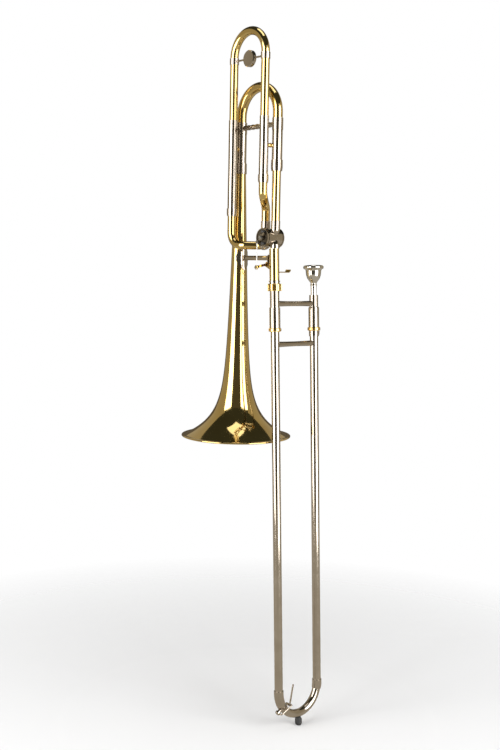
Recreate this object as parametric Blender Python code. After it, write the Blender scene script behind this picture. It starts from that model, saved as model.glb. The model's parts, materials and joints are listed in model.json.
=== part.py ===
"""Tenor trombone with a thumb valve, upright on its bell, modelled in metres with +Z up.

The origin is the centre of the bell mouth. The bell and both tuning slides run along Z. +X runs from the
bell to the gooseneck, and +Y from the neckpipe side of the hand slide to the mouthpiece side. The whole
slide section hangs from the neck joint and leans a little outward at its lower end, to clear the bell.
"""

import bpy
import bmesh
from math import asin, atan2, cos, exp, pi, radians, sin, sqrt, tan
from mathutils import Matrix, Vector

# General clearances and mesh fineness
GAP = 0.0003
TUBE_SIDES = 20
BOW_STEPS = 12
CORNER_STEPS = 4
SMALL_SIDES = 12
PIN_SIDES = 8
PIN_CLEARANCE = 0.0003

# Bell, from the mouth up to its tuning slide
BELL_STEM_TOP = 0.4905
BELL_STEM_TOP_RADIUS = 0.0092
BELL_STEM_TAPER = 0.0259
BELL_MOUTH_RADIUS = 0.1016
BELL_SLOW_FLARE = 0.0098
BELL_SLOW_FLARE_LENGTH = 0.1352
BELL_QUICK_FLARE_LENGTH = 0.0327
BELL_WALL = 0.0006
BELL_SIDES = 32
BELL_LONGEST_STEP = 0.0500
BELL_BEAD_RADIUS = 0.0016

# Main tuning slide
LEG_SPACING = 0.0980
BELL_LEG_RADIUS = 0.0092
NECK_LEG_RADIUS = 0.0085
TUNING_WALL = 0.0005
TUNING_BOW_RISE = 0.0298
TUNING_LEG_SEAT = 0.0145
TUNING_COLLAR_HEIGHT = 0.0200
TUNING_COLLAR_WALL = 0.0009
TUNING_SLEEVE_LENGTH = 0.0627
TUNING_BRACE_RADIUS = 0.0040
TUNING_BRACE_BEAD_RADIUS = 0.0049
TUNING_BRACE_BEADS = 7

# Fixed outer sleeves of both tuning slides
SLEEVE_WALL = 0.0004
FERRULE_WALL = 0.0008
FERRULE_ABOVE = 0.0107
FERRULE_BELOW = 0.0081

# Valve loop, in front of the main tubing
LOOP_OFFSET = 0.0225
LOOP_BELL_LEG_X = 0.0039
LOOP_NECK_LEG_INSET = 0.0099
LOOP_TUBE_RADIUS = 0.0074
LOOP_WALL = 0.0005
LOOP_BOW_RISE = 0.1934
LOOP_LEG_SEAT = 0.0320
LOOP_SLEEVE_RISE = 0.0497
LOOP_BELL_SLEEVE_RISE = 0.0460
LOOP_NECK_SLEEVE_RISE = 0.1020
LOOP_FERRULE_ABOVE = 0.0069
LOOP_FERRULE_BELOW = 0.0067
LOOP_COLLAR_DROP = 0.0001
LOOP_CORNER_RADIUS = 0.0240
LOOP_JOG_START = 0.0320
LOOP_JOG_END = 0.0095
LOOP_JOG_RADIUS = 0.0170
LOOP_STEP_TOP = 0.0450
LOOP_STEP_FOOT = 0.0230
LOOP_STEP_BEND = 0.0150
LOOP_COLLAR_HEIGHT = 0.0110
LOOP_COLLAR_WALL = 0.0006
LOOP_ROD_DROP = 0.0056
LOOP_ROD_RADIUS = 0.0017
LOOP_DISC_RADIUS = 0.0146
LOOP_DISC_THICKNESS = 0.0080
STAY_RISE = 0.0355
STAY_RADIUS = 0.0026

# Rotary valve, whose axis runs along Y
VALVE_DROP = 0.1245
PORT_OFFSET = 0.0132
CASING_RADIUS = 0.0165
CASING_WALL = 0.0013
CASING_FRONT = 0.0165
CASING_BACK = 0.0135
CASING_END_WALL = 0.0024
CASING_RIM = 0.0009
CASING_RIM_WIDTH = 0.0030
ROTOR_HALF_LENGTH = 0.0132
ROTOR_PASSAGE_RADIUS = 0.0050
ROTOR_PASSAGE_BEND = 0.0149
SPINDLE_RADIUS = 0.0030
SPINDLE_TIP = 0.0226
PORT_RADIUS = 0.0082
PORT_BORE_RADIUS = 0.0066
PORT_LENGTH = 0.0185
UPPER_PORT_LENGTH = 0.0294
REAR_PLATE_THICKNESS = 0.0020
BACK_CAP_THICKNESS = 0.0036
BACK_CAP_RADIUS = 0.0164
STOP_PLATE_RADIUS = 0.0145
STOP_PLATE_THICKNESS = 0.0016
BUMPER_RADIUS = 0.0022
BUMPER_LENGTH = 0.0052
BUMPER_CIRCLE = 0.0112

# Stop arm, connecting rod and thumb lever
ARM_RADIUS = 0.0110
ARM_ANGLE = radians(225)
ARM_WIDTH = 0.0036
ARM_THICKNESS = 0.0034
ARM_HUB_RADIUS = 0.0052
ARM_STANDOFF = 0.0009
VALVE_TURN = radians(90)
ROD_EYE_RADIUS = 0.0040
ROD_EYE_THICKNESS = 0.0022
ROD_RADIUS = 0.0009
ROD_EYE_BORE = 0.0025
LINK_PIN_RADIUS = 0.0009
SCREW_HEAD_RADIUS = 0.0036
SCREW_HEAD_HEIGHT = 0.0026
LEVER_PIVOT_DROP = 0.0100
LEVER_ROD_DROP = 0.0070
LEVER_THICKNESS = 0.0022
LEVER_BOSS_RADIUS = 0.0034
LEVER_ROD_GAP = 0.0005
LEVER_WEB_REACH = 0.0160
LEVER_WEB_DROP = 0.0145
LEVER_PADDLE_LENGTH = 0.0500
LEVER_PADDLE_START = 0.0240
LEVER_PADDLE_WIDTH = 0.0120
LEVER_PADDLE_THICKNESS = 0.0018
LEVER_PADDLE_CURL = 0.0050
PIVOT_RADIUS = 0.0015

# Bell brace and the bracket that it carries
BRACE_DROP = 0.0355
BRACE_RADIUS = 0.0043
BRACE_RING_RADIUS = 0.0055
BRACE_RING_WIDTH = 0.0045
BRACKET_THICKNESS = 0.0026
BRACKET_INSET = 0.0133
FLANGE_THICKNESS = 0.0009
FLANGE_HALF_HEIGHT = 0.0225
FLANGE_HALF_ANGLE = radians(68)

# Neck joint and slide section: levels are distances along the leaned axis below NECK_ORIGIN
NECK_DROP = 0.0681
SLIDE_LEAN = radians(2.742)
SLIDE_SPACING = 0.0961
NECKPIPE_RADIUS = 0.00875
NECKPIPE_WALL = 0.0005
GOOSENECK_RADIUS = 0.0076
NECK_RING_LEVEL = 0.0075
NECK_RING_RADIUS = 0.0101
NECK_RING_THICKNESS = 0.0016
THREAD_RADIUS = 0.0103
THREAD_END = 0.0212
TENON_TOP = 0.0110
TENON_RADIUS = 0.0078
TENON_FLANGE_RADIUS = 0.0103
TENON_FLANGE_THICKNESS = 0.0013
NUT_TOP = 0.0127
NUT_BOTTOM = 0.0254
NUT_RADIUS = 0.01265
NUT_FLUTE_DEPTH = 0.0009
SLIDE_TUBE_RADIUS = 0.00835
INNER_RADIUS = 0.0070
INNER_WALL = 0.0004
INNER_TOP = 0.0360
INNER_BOTTOM = 0.7440
OUTER_RADIUS = 0.0076
OUTER_WALL = 0.0003
OUTER_TOP = 0.0640
OUTER_BOTTOM = 0.7525
BARREL_TOP = 0.0537
BARREL_BOTTOM = 0.0909
BARREL_RADIUS = 0.00975
BARREL_WALL = 0.0013
BARREL_END_WALL = 0.0016
GOLD_RING_BOTTOM = 0.0973
GOLD_RING_RADIUS = 0.0114
LOCK_RING_BOTTOM = 0.0976
LOCK_RING_RADIUS = 0.0118
LOCK_COLLAR_LENGTH = 0.0100
LOCK_COLLAR_RADIUS = 0.0091
HOOK_REACH = 0.0055
HOOK_WIDTH = 0.0042
RECEIVER_TOP = 0.0325
RECEIVER_RADIUS = 0.0081
LEADPIPE_LENGTH = 0.2000
LEADPIPE_RADIUS = 0.0062
LEADPIPE_BORE_TOP = 0.0057
LEADPIPE_BORE_BOTTOM = 0.0056
UPPER_BRACE_LEVEL = 0.0480
LOWER_BRACE_LEVEL = 0.1204
SLIDE_BRACE_RADIUS = 0.0054
SLIDE_BRACE_WAIST = 0.0045

# Mouthpiece, hung in its receiver
MOUTHPIECE_TOP = -0.0217
SHANK_RADIUS = 0.0051
SHANK_TIP_RADIUS = 0.0046
SHANK_DEPTH = 0.0240
CUP_RIM_RADIUS = 0.0186
CUP_BORE_RADIUS = 0.0128
THROAT_RADIUS = 0.0034

# Slide crook, its bumper and its water key
CROOK_CENTRE = 0.7540
CROOK_RADIUS = 0.0075
CROOK_WALL = 0.0005
CROOK_FERRULE_WALL = 0.0009
LEFT_FERRULE_TOP = 0.7489
RIGHT_FERRULE_TOP = 0.7498
LEFT_FERRULE_STEPS = 2
RIGHT_FERRULE_STEPS = 1
BUMPER_TIP_RADIUS = 0.0064
BUMPER_TIP_LENGTH = 0.0145
BUMPER_FACE_RADIUS = 0.0046
NIPPLE_ANGLE = radians(35)
NIPPLE_RADIUS = 0.0034
NIPPLE_HEIGHT = 0.0040
KEY_CUP_RADIUS = 0.0047
KEY_CUP_HEIGHT = 0.0046
KEY_ANGLE = radians(44)
KEY_HINGE_OFFSET = 0.0042
KEY_BARREL_RADIUS = 0.0023
KEY_BARREL_LENGTH = 0.0050
KEY_POST_LENGTH = 0.0046
KEY_ARM_RADIUS = 0.0014
KEY_FINGER_LENGTH = 0.0370
KEY_FINGER_LEAN = radians(14)

# Worked-out heights
SLEEVE_JOINT = BELL_STEM_TOP
VALVE_HEIGHT = SLEEVE_JOINT - VALVE_DROP
TUNING_LEG_BOTTOM = SLEEVE_JOINT + TUNING_LEG_SEAT
TUNING_SLEEVE_TOP = SLEEVE_JOINT + TUNING_SLEEVE_LENGTH
TUNING_BOW_HEIGHT = TUNING_SLEEVE_TOP + TUNING_BOW_RISE
STAY_HEIGHT = SLEEVE_JOINT + STAY_RISE
LOOP_SLEEVE_TOP = STAY_HEIGHT + LOOP_SLEEVE_RISE
LOOP_BOW_HEIGHT = SLEEVE_JOINT + LOOP_BOW_RISE
LOOP_BELL_SLEEVE_BOTTOM = VALVE_HEIGHT + LOOP_BELL_SLEEVE_RISE
LOOP_NECK_SLEEVE_BOTTOM = VALVE_HEIGHT + LOOP_NECK_SLEEVE_RISE
LOOP_LEG_BOTTOM = LOOP_NECK_SLEEVE_BOTTOM + LOOP_LEG_SEAT
BRACE_HEIGHT = VALVE_HEIGHT - BRACE_DROP
LEVER_PIVOT_HEIGHT = BRACE_HEIGHT - LEVER_PIVOT_DROP
LEVER_ROD_HEIGHT = LEVER_PIVOT_HEIGHT - LEVER_ROD_DROP
NECK_ORIGIN = VALVE_HEIGHT - NECK_DROP

# Worked-out places
MAIN_X = LEG_SPACING
LOOP_NECK_LEG_X = MAIN_X - LOOP_NECK_LEG_INSET
BRACKET_X = MAIN_X - BRACKET_INSET
VALVE_X = MAIN_X - PORT_OFFSET
LOOP_PORT_X = VALVE_X - PORT_OFFSET
VALVE_CENTRE = Vector((VALVE_X, 0, VALVE_HEIGHT))
DOWN = Vector((0, 0, -1))
SLIDE_SIDE = (Vector((0, 0, 0)), Vector((0, SLIDE_SPACING, 0)))
PLATE_BACK = -(CASING_FRONT + GAP)
PLATE_FRONT = PLATE_BACK - STOP_PLATE_THICKNESS
ARM_BACK = PLATE_FRONT - ARM_STANDOFF
ARM_FRONT = ARM_BACK - ARM_THICKNESS
ROD_BACK = ARM_FRONT - GAP
ROD_FRONT = ROD_BACK - ROD_EYE_THICKNESS
ROD_Y = (ROD_BACK + ROD_FRONT) / 2
ARM_END = Vector((ARM_RADIUS * cos(ARM_ANGLE), 0, ARM_RADIUS * sin(ARM_ANGLE)))
ROD_X = VALVE_X + ARM_END.x
LEVER_X = ROD_X + ROD_EYE_THICKNESS / 2 + LEVER_ROD_GAP + LEVER_THICKNESS / 2

# Looks: base colour, roughness, metallic
FINISHES = {
    "lacquered_brass": ((0.80, 0.56, 0.20), 0.16, 1.0),
    "gold_plate": ((0.95, 0.67, 0.28), 0.18, 1.0),
    "nickel_silver": ((0.72, 0.68, 0.60), 0.20, 1.0),
    "polished_nickel": ((0.82, 0.79, 0.74), 0.12, 1.0),
    "rubber": ((0.02, 0.02, 0.022), 0.55, 0.0),
    "steel": ((0.55, 0.54, 0.52), 0.28, 1.0),
    "bronze": ((0.55, 0.38, 0.20), 0.30, 1.0),
}


def clear_scene():
    """Start from an empty scene"""
    for obj in list(bpy.data.objects):
        bpy.data.objects.remove(obj, do_unlink=True)


def new_material(name, finish):
    """One Principled material for one piece"""
    colour, roughness, metallic = FINISHES[finish]
    material = bpy.data.materials.new(name)
    material.use_nodes = True
    shader = material.node_tree.nodes["Principled BSDF"]
    shader.inputs["Base Color"].default_value = (*colour, 1.0)
    shader.inputs["Roughness"].default_value = roughness
    shader.inputs["Metallic"].default_value = metallic
    return material


def add_piece(name, bm, finish, parent=None):
    """Turn a finished bmesh into a named object"""
    bmesh.ops.recalc_face_normals(bm, faces=bm.faces)
    mesh = bpy.data.meshes.new(name)
    bm.to_mesh(mesh)
    bm.free()
    mesh.shade_smooth()
    mesh.set_sharp_from_angle(angle=radians(40))
    obj = bpy.data.objects.new(name, mesh)
    obj.data.materials.append(new_material(name, finish))
    obj.parent = parent
    bpy.context.scene.collection.objects.link(obj)
    return obj


def add_axis(name, location, rotation=(0, 0, 0), parent=None):
    """An empty on a joint's axis, which carries the pieces that move with it"""
    empty = bpy.data.objects.new(name, None)
    empty.location = location
    empty.rotation_euler = rotation
    empty.parent = parent
    bpy.context.scene.collection.objects.link(empty)
    return empty


def combine(obj, bm, operation):
    """Fuse another shape to a piece, or cut it away, with a hidden operand"""
    tool = add_piece(f"{obj.name}_{operation.lower()}_{len(obj.modifiers)}", bm, "steel", obj.parent)
    tool.hide_render = True
    tool.display_type = "WIRE"
    modifier = obj.modifiers.new(tool.name, "BOOLEAN")
    modifier.operation = operation
    modifier.object = tool
    modifier.solver = "EXACT"


def towards(direction, centre=(0, 0, 0)):
    """The placement that turns local Z to a direction and moves the origin to a centre"""
    turn = Vector((0, 0, 1)).rotation_difference(Vector(direction).normalized())
    return Matrix.Translation(Vector(centre)) @ turn.to_matrix().to_4x4()


def circle(radius, sides, place, height=0.0):
    """A ring of points round the local Z axis of a placement"""
    turns = [2 * pi * i / sides for i in range(sides)]
    return [place @ Vector((radius * cos(a), radius * sin(a), height)) for a in turns]


def loft(bm, rings, hollow=False):
    """Skin a run of rings that have equally many points, closed end to end or capped"""
    loops = [[bm.verts.new(point) for point in ring] for ring in rings]
    pairs = list(zip(loops, loops[1:]))
    if hollow:
        pairs.append((loops[-1], loops[0]))
    for first, second in pairs:
        for i, corner in enumerate(first):
            j = (i + 1) % len(first)
            bm.faces.new((corner, first[j], second[j], second[i]))
    if not hollow:
        bm.faces.new(loops[0][::-1])
        bm.faces.new(loops[-1])
    return bm


def turned(profile, place=Matrix.Identity(4), sides=TUBE_SIDES, hollow=False, bm=None):
    """Revolve (radius, height) points about the local Z axis of a placement"""
    rings = [circle(radius, sides, place, height) for radius, height in profile]
    return loft(bm or bmesh.new(), rings, hollow)


def pipe(outer, inner, bottom, top, place=Matrix.Identity(4), sides=TUBE_SIDES):
    """A straight hollow tube between two heights"""
    profile = [(outer, bottom), (outer, top), (inner, top), (inner, bottom)]
    return turned(profile, place, sides, hollow=True)


def rod(radius, start, end, sides=SMALL_SIDES, bm=None):
    """A straight solid rod between two points"""
    start, end = Vector(start), Vector(end)
    place = towards(end - start, start)
    return turned([(radius, 0), (radius, (end - start).length)], place, sides, bm=bm)


def rounded_path(corners, radii, steps=CORNER_STEPS):
    """A run of points with an arc at each inner corner"""
    corners = [Vector(corner) for corner in corners]
    path = [corners[0]]
    for before, corner, after, radius in zip(corners, corners[1:], corners[2:], radii):
        towards_before = (before - corner).normalized()
        towards_after = (after - corner).normalized()
        half = towards_before.angle(towards_after) / 2
        middle = (towards_before + towards_after).normalized()
        centre = corner + middle * radius / sin(half)
        start = corner + towards_before * radius / tan(half) - centre
        turn = start.rotation_difference(corner + towards_after * radius / tan(half) - centre)
        for step in range(steps + 1):
            share = turn.copy()
            share.angle = turn.angle * step / steps
            path.append(centre + share @ start)
    path.append(corners[-1])
    return path


def bow_path(start, end, centre, leg, steps=BOW_STEPS, away=Vector((0, 0, 1))):
    """Two straight legs joined by a half circle that bulges away from them"""
    start, end, centre = Vector(start), Vector(end), Vector(centre)
    half = (end - start) / 2
    path = [centre - half - away * leg[0]] if leg[0] else []
    for step in range(steps + 1):
        angle = pi * step / steps
        path.append(centre - half * cos(angle) + away * half.length * sin(angle))
    if leg[1]:
        path.append(centre + half - away * leg[1])
    return path


def swept_rings(path, radii, sides):
    """Rings square to a path, which keep their twist along it"""
    directions = []
    for i in range(len(path)):
        ahead = (path[min(i + 1, len(path) - 1)] - path[i]).normalized()
        behind = (path[i] - path[max(i - 1, 0)]).normalized()
        directions.append((ahead + behind).normalized())
    side = directions[0].orthogonal().normalized()
    rings = []
    for i, (point, direction) in enumerate(zip(path, directions)):
        if i:
            side = directions[i - 1].rotation_difference(direction) @ side
        across = direction.cross(side).normalized()
        turns = [2 * pi * k / sides for k in range(sides)]
        rings.append([point + (side * cos(a) + across * sin(a)) * radii[i] for a in turns])
    return rings


def spread(first, last, path):
    """Radii that change evenly along a path"""
    lengths = [0.0]
    for a, b in zip(path, path[1:]):
        lengths.append(lengths[-1] + (b - a).length)
    return [first + (last - first) * length / lengths[-1] for length in lengths]


def swept_pipe(path, radii, wall, sides=TUBE_SIDES):
    """A bent hollow tube along a path"""
    outer = swept_rings(path, radii, sides)
    inner = swept_rings(path, [radius - wall for radius in radii], sides)
    return loft(bmesh.new(), outer + inner[::-1], hollow=True)


def swept_rod(path, radius, sides=SMALL_SIDES, bm=None):
    """A bent solid rod along a path"""
    return loft(bm or bmesh.new(), swept_rings(path, [radius] * len(path), sides))


def plate(outline, thickness, place, bm=None):
    """A flat plate: a local XY outline, thick along local Z"""
    rings = []
    for height in (-thickness / 2, thickness / 2):
        rings.append([place @ Vector((x, y, height)) for x, y in outline])
    return loft(bm or bmesh.new(), rings)


def arc(centre, radius, start, end, steps):
    """Points of a flat arc, as (x, y) pairs"""
    turns = [start + (end - start) * i / steps for i in range(steps + 1)]
    return [(centre[0] + radius * cos(a), centre[1] + radius * sin(a)) for a in turns]


def link_outline(first, first_radius, second, second_radius, steps=6):
    """The outline of a flat link: two round ends joined by straight sides"""
    heading = atan2(second[1] - first[1], second[0] - first[0])
    outline = arc(first, first_radius, heading + pi / 2, heading + 3 * pi / 2, steps)
    return outline + arc(second, second_radius, heading - pi / 2, heading + pi / 2, steps)


def bell_radius(height):
    """The bell's outer radius at a height above its mouth"""
    straight = BELL_STEM_TOP_RADIUS + BELL_STEM_TAPER * (BELL_STEM_TOP - height)
    slow = BELL_SLOW_FLARE * exp(-height / BELL_SLOW_FLARE_LENGTH)
    mouth_straight = BELL_STEM_TOP_RADIUS + BELL_STEM_TAPER * BELL_STEM_TOP
    quick = BELL_MOUTH_RADIUS - mouth_straight - BELL_SLOW_FLARE
    return straight + slow + quick * exp(-height / BELL_QUICK_FLARE_LENGTH)


def make_bell():
    """The bell, a thin flaring shell with a beaded rim"""
    bead = BELL_BEAD_RADIUS
    levels = [0.0]
    step = 0.0042
    while levels[-1] + step < BELL_STEM_TOP * 0.97:
        levels.append(levels[-1] + step)
        step = min(step * 1.33, BELL_LONGEST_STEP)
    levels.append(BELL_STEM_TOP)
    outer = [(bell_radius(z), z) for z in levels[1:]]
    inner = [(radius - BELL_WALL, z) for radius, z in outer]
    lip = [(bell_radius(bead) - BELL_WALL * 3, 0.0)]
    lip += [(BELL_MOUTH_RADIUS - bead * (1 - sin(a)), bead * (1 - cos(a)))
            for a in (radians(30), radians(90), radians(150))]
    lip.append((bell_radius(bead * 2) + BELL_WALL / 2, bead * 2))
    inner[0] = (inner[0][0] - BELL_WALL, inner[0][1])
    bm = turned(lip + outer + inner[::-1], sides=BELL_SIDES, hollow=True)
    add_piece("bell", bm, "lacquered_brass")


def sleeve_ferrule(name, x, y, joint, above, below, sleeve_radius, tube_radius):
    """A stepped ferrule over the joint between an outer sleeve and the tube below it"""
    top_bore = sleeve_radius + GAP
    low_bore = tube_radius + GAP
    outer_top = top_bore + FERRULE_WALL
    outer_low = max(low_bore + FERRULE_WALL, outer_top - FERRULE_WALL)
    profile = [
        (outer_low, joint - below),
        (outer_top, joint - below / 3),
        (outer_top, joint + above),
        (top_bore, joint + above),
        (top_bore, joint),
        (low_bore, joint),
        (low_bore, joint - below),
    ]
    bm = turned(profile, Matrix.Translation((x, y, 0)), hollow=True)
    add_piece(name, bm, "nickel_silver")


def make_tuning_sleeves():
    """The fixed outer sleeves of the main tuning slide, and their ferrules"""
    sides = (
        ("bell_side", 0.0, BELL_LEG_RADIUS, bell_radius(SLEEVE_JOINT - FERRULE_BELOW) + GAP),
        ("neck_side", MAIN_X, NECK_LEG_RADIUS, GOOSENECK_RADIUS),
    )
    for side, x, leg_radius, tube_radius in sides:
        bore = leg_radius + GAP
        radius = bore + SLEEVE_WALL
        bottom = SLEEVE_JOINT + GAP
        bm = pipe(radius, bore, bottom, TUNING_SLEEVE_TOP, Matrix.Translation((x, 0, 0)))
        add_piece(f"tuning_sleeve_{side}", bm, "nickel_silver")
        sleeve_ferrule(f"tuning_ferrule_{side}", x, 0.0, SLEEVE_JOINT, FERRULE_ABOVE,
                       FERRULE_BELOW, radius, tube_radius)


def make_gooseneck():
    """The straight brass tube from the valve up to the main tuning slide"""
    place = Matrix.Translation((MAIN_X, 0, 0))
    joint = VALVE_HEIGHT + UPPER_PORT_LENGTH
    bore = GOOSENECK_RADIUS - TUNING_WALL
    bm = pipe(GOOSENECK_RADIUS, bore, joint + GAP, SLEEVE_JOINT - GAP, place)
    add_piece("gooseneck_tube", bm, "lacquered_brass")


def make_main_tuning_slide():
    """The moving main bow with its two collars and the brace between them"""
    axis = add_axis("main_tuning_slide_axis", (MAIN_X / 2, 0, TUNING_BOW_HEIGHT))
    half = MAIN_X / 2
    leg = TUNING_BOW_HEIGHT - TUNING_LEG_BOTTOM
    path = bow_path((-half, 0, 0), (half, 0, 0), (0, 0, 0), (leg, leg))
    bm = swept_pipe(path, spread(BELL_LEG_RADIUS, NECK_LEG_RADIUS, path), TUNING_WALL)
    add_piece("main_tuning_bow", bm, "lacquered_brass", axis)
    bottom = TUNING_SLEEVE_TOP + GAP - TUNING_BOW_HEIGHT
    faces = []
    for side, x, radius in (("bell_side", -half, BELL_LEG_RADIUS), ("neck_side", half, NECK_LEG_RADIUS)):
        outer = radius + GAP + TUNING_COLLAR_WALL
        bm = pipe(outer, radius + GAP, bottom, bottom + TUNING_COLLAR_HEIGHT, Matrix.Translation((x, 0, 0)))
        add_piece(f"tuning_collar_{side}", bm, "nickel_silver", axis)
        faces.append(x - (outer + GAP) * (1 if x > 0 else -1))
    level = bottom + TUNING_COLLAR_HEIGHT / 2
    length = faces[1] - faces[0]
    pitch = length / (2 * TUNING_BRACE_BEADS)
    profile = []
    for i in range(2 * TUNING_BRACE_BEADS + 1):
        radius = TUNING_BRACE_RADIUS if i % 2 else TUNING_BRACE_BEAD_RADIUS
        profile.append((radius, i * pitch))
    bm = turned(profile, towards((1, 0, 0), (faces[0], 0, level)), SMALL_SIDES)
    add_piece("main_tuning_brace", bm, "nickel_silver", axis)


def make_loop_slide():
    """The moving bow of the valve loop, with its collars, rods and round disc"""
    half = (LOOP_NECK_LEG_X - LOOP_BELL_LEG_X) / 2
    axis = add_axis("loop_slide_axis", (LOOP_BELL_LEG_X + half, -LOOP_OFFSET, LOOP_BOW_HEIGHT))
    leg = LOOP_BOW_HEIGHT - LOOP_LEG_BOTTOM
    path = bow_path((-half, 0, 0), (half, 0, 0), (0, 0, 0), (leg, leg))
    bm = swept_pipe(path, [LOOP_TUBE_RADIUS] * len(path), LOOP_WALL)
    add_piece("loop_bow", bm, "lacquered_brass", axis)
    top = -LOOP_COLLAR_DROP
    level = -LOOP_ROD_DROP
    bore = LOOP_TUBE_RADIUS + GAP
    outer = bore + LOOP_COLLAR_WALL
    for side, x in (("bell_side", -half), ("neck_side", half)):
        bm = pipe(outer, bore, top - LOOP_COLLAR_HEIGHT, top, Matrix.Translation((x, 0, 0)))
        add_piece(f"loop_collar_{side}", bm, "nickel_silver", axis)
    edge = LOOP_DISC_THICKNESS / 2
    chamfer = LOOP_DISC_THICKNESS / 6
    profile = [
        (LOOP_DISC_RADIUS - chamfer, -edge),
        (LOOP_DISC_RADIUS, -edge + chamfer),
        (LOOP_DISC_RADIUS, edge - chamfer),
        (LOOP_DISC_RADIUS - chamfer, edge),
    ]
    disc = add_piece("loop_disc", turned(profile, towards((0, 1, 0), (0, 0, level))), "nickel_silver", axis)
    reach = half - outer - GAP
    combine(disc, rod(LOOP_ROD_RADIUS, (-reach, 0, level), (reach, 0, level), PIN_SIDES), "UNION")


def make_loop_tubing():
    """The fixed part of the valve loop: sleeves, ferrules and the two bent tubes to the valve"""
    bore = LOOP_TUBE_RADIUS + GAP
    radius = bore + SLEEVE_WALL
    legs = (
        ("bell_side", LOOP_BELL_LEG_X, LOOP_BELL_SLEEVE_BOTTOM),
        ("neck_side", LOOP_NECK_LEG_X, LOOP_NECK_SLEEVE_BOTTOM),
    )
    for side, x, joint in legs:
        place = Matrix.Translation((x, -LOOP_OFFSET, 0))
        sleeve = add_piece(f"loop_sleeve_{side}", pipe(radius, bore, joint + GAP, LOOP_SLEEVE_TOP, place),
                           "nickel_silver")
        main_x, leg = (0.0, BELL_LEG_RADIUS) if side == "bell_side" else (MAIN_X, NECK_LEG_RADIUS)
        start = Vector((x, -LOOP_OFFSET, STAY_HEIGHT))
        end = Vector((main_x, 0, STAY_HEIGHT))
        along = (end - start).normalized()
        stay = rod(STAY_RADIUS, start + along * (bore + SLEEVE_WALL / 2),
                   end - along * (leg + 2 * GAP + SLEEVE_WALL), PIN_SIDES)
        combine(sleeve, stay, "UNION")
        sleeve_ferrule(f"loop_ferrule_{side}", x, -LOOP_OFFSET, joint, LOOP_FERRULE_ABOVE,
                       LOOP_FERRULE_BELOW, radius, LOOP_TUBE_RADIUS)
    x, y = LOOP_BELL_LEG_X, -LOOP_OFFSET
    run = VALVE_HEIGHT - PORT_OFFSET
    port = VALVE_X - PORT_LENGTH - GAP
    corners = [(x, y, LOOP_BELL_SLEEVE_BOTTOM - GAP), (x, y, run), (x + LOOP_JOG_START, y, run),
               (port - LOOP_JOG_END, 0, run), (port, 0, run)]
    path = rounded_path(corners, (LOOP_CORNER_RADIUS, LOOP_JOG_RADIUS, LOOP_JOG_RADIUS))
    bm = swept_pipe(path, [LOOP_TUBE_RADIUS] * len(path), LOOP_WALL)
    add_piece("loop_lower_tube", bm, "lacquered_brass")
    x = LOOP_NECK_LEG_X
    bottom = VALVE_HEIGHT + UPPER_PORT_LENGTH + GAP
    corners = [(x, y, LOOP_NECK_SLEEVE_BOTTOM - GAP), (x, y, bottom + LOOP_STEP_TOP),
               (LOOP_PORT_X, 0, bottom + LOOP_STEP_FOOT), (LOOP_PORT_X, 0, bottom)]
    path = rounded_path(corners, (LOOP_STEP_BEND, LOOP_STEP_BEND))
    bm = swept_pipe(path, [LOOP_TUBE_RADIUS] * len(path), LOOP_WALL)
    add_piece("loop_upper_tube", bm, "lacquered_brass")


def port_path(side_x, side_z, upright, start=0.0075):
    """A port's centre line, from inside the casing out to its end"""
    knee = PORT_OFFSET
    first = Vector((side_x * start, 0, side_z * start))
    corner = Vector((side_x * knee, 0, side_z * knee))
    if upright:
        length = UPPER_PORT_LENGTH if side_z > 0 else PORT_LENGTH
        end = Vector((side_x * knee, 0, side_z * length))
    else:
        end = Vector((side_x * PORT_LENGTH, 0, side_z * knee))
    return rounded_path([first, corner, end], (0.0080,), 3)


def port_rings(radius, extra):
    """The four ports as one shape: neckpipe, gooseneck, and the loop's two ends"""
    bm = bmesh.new()
    for side_x, side_z, upright in ((1, -1, True), (1, 1, True), (-1, 1, True), (-1, -1, False)):
        path = port_path(side_x, side_z, upright)
        path[-1] = path[-1] + (path[-1] - path[-2]).normalized() * extra
        loft(bm, swept_rings(path, [radius] * len(path), TUBE_SIDES))
    return bm


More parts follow.
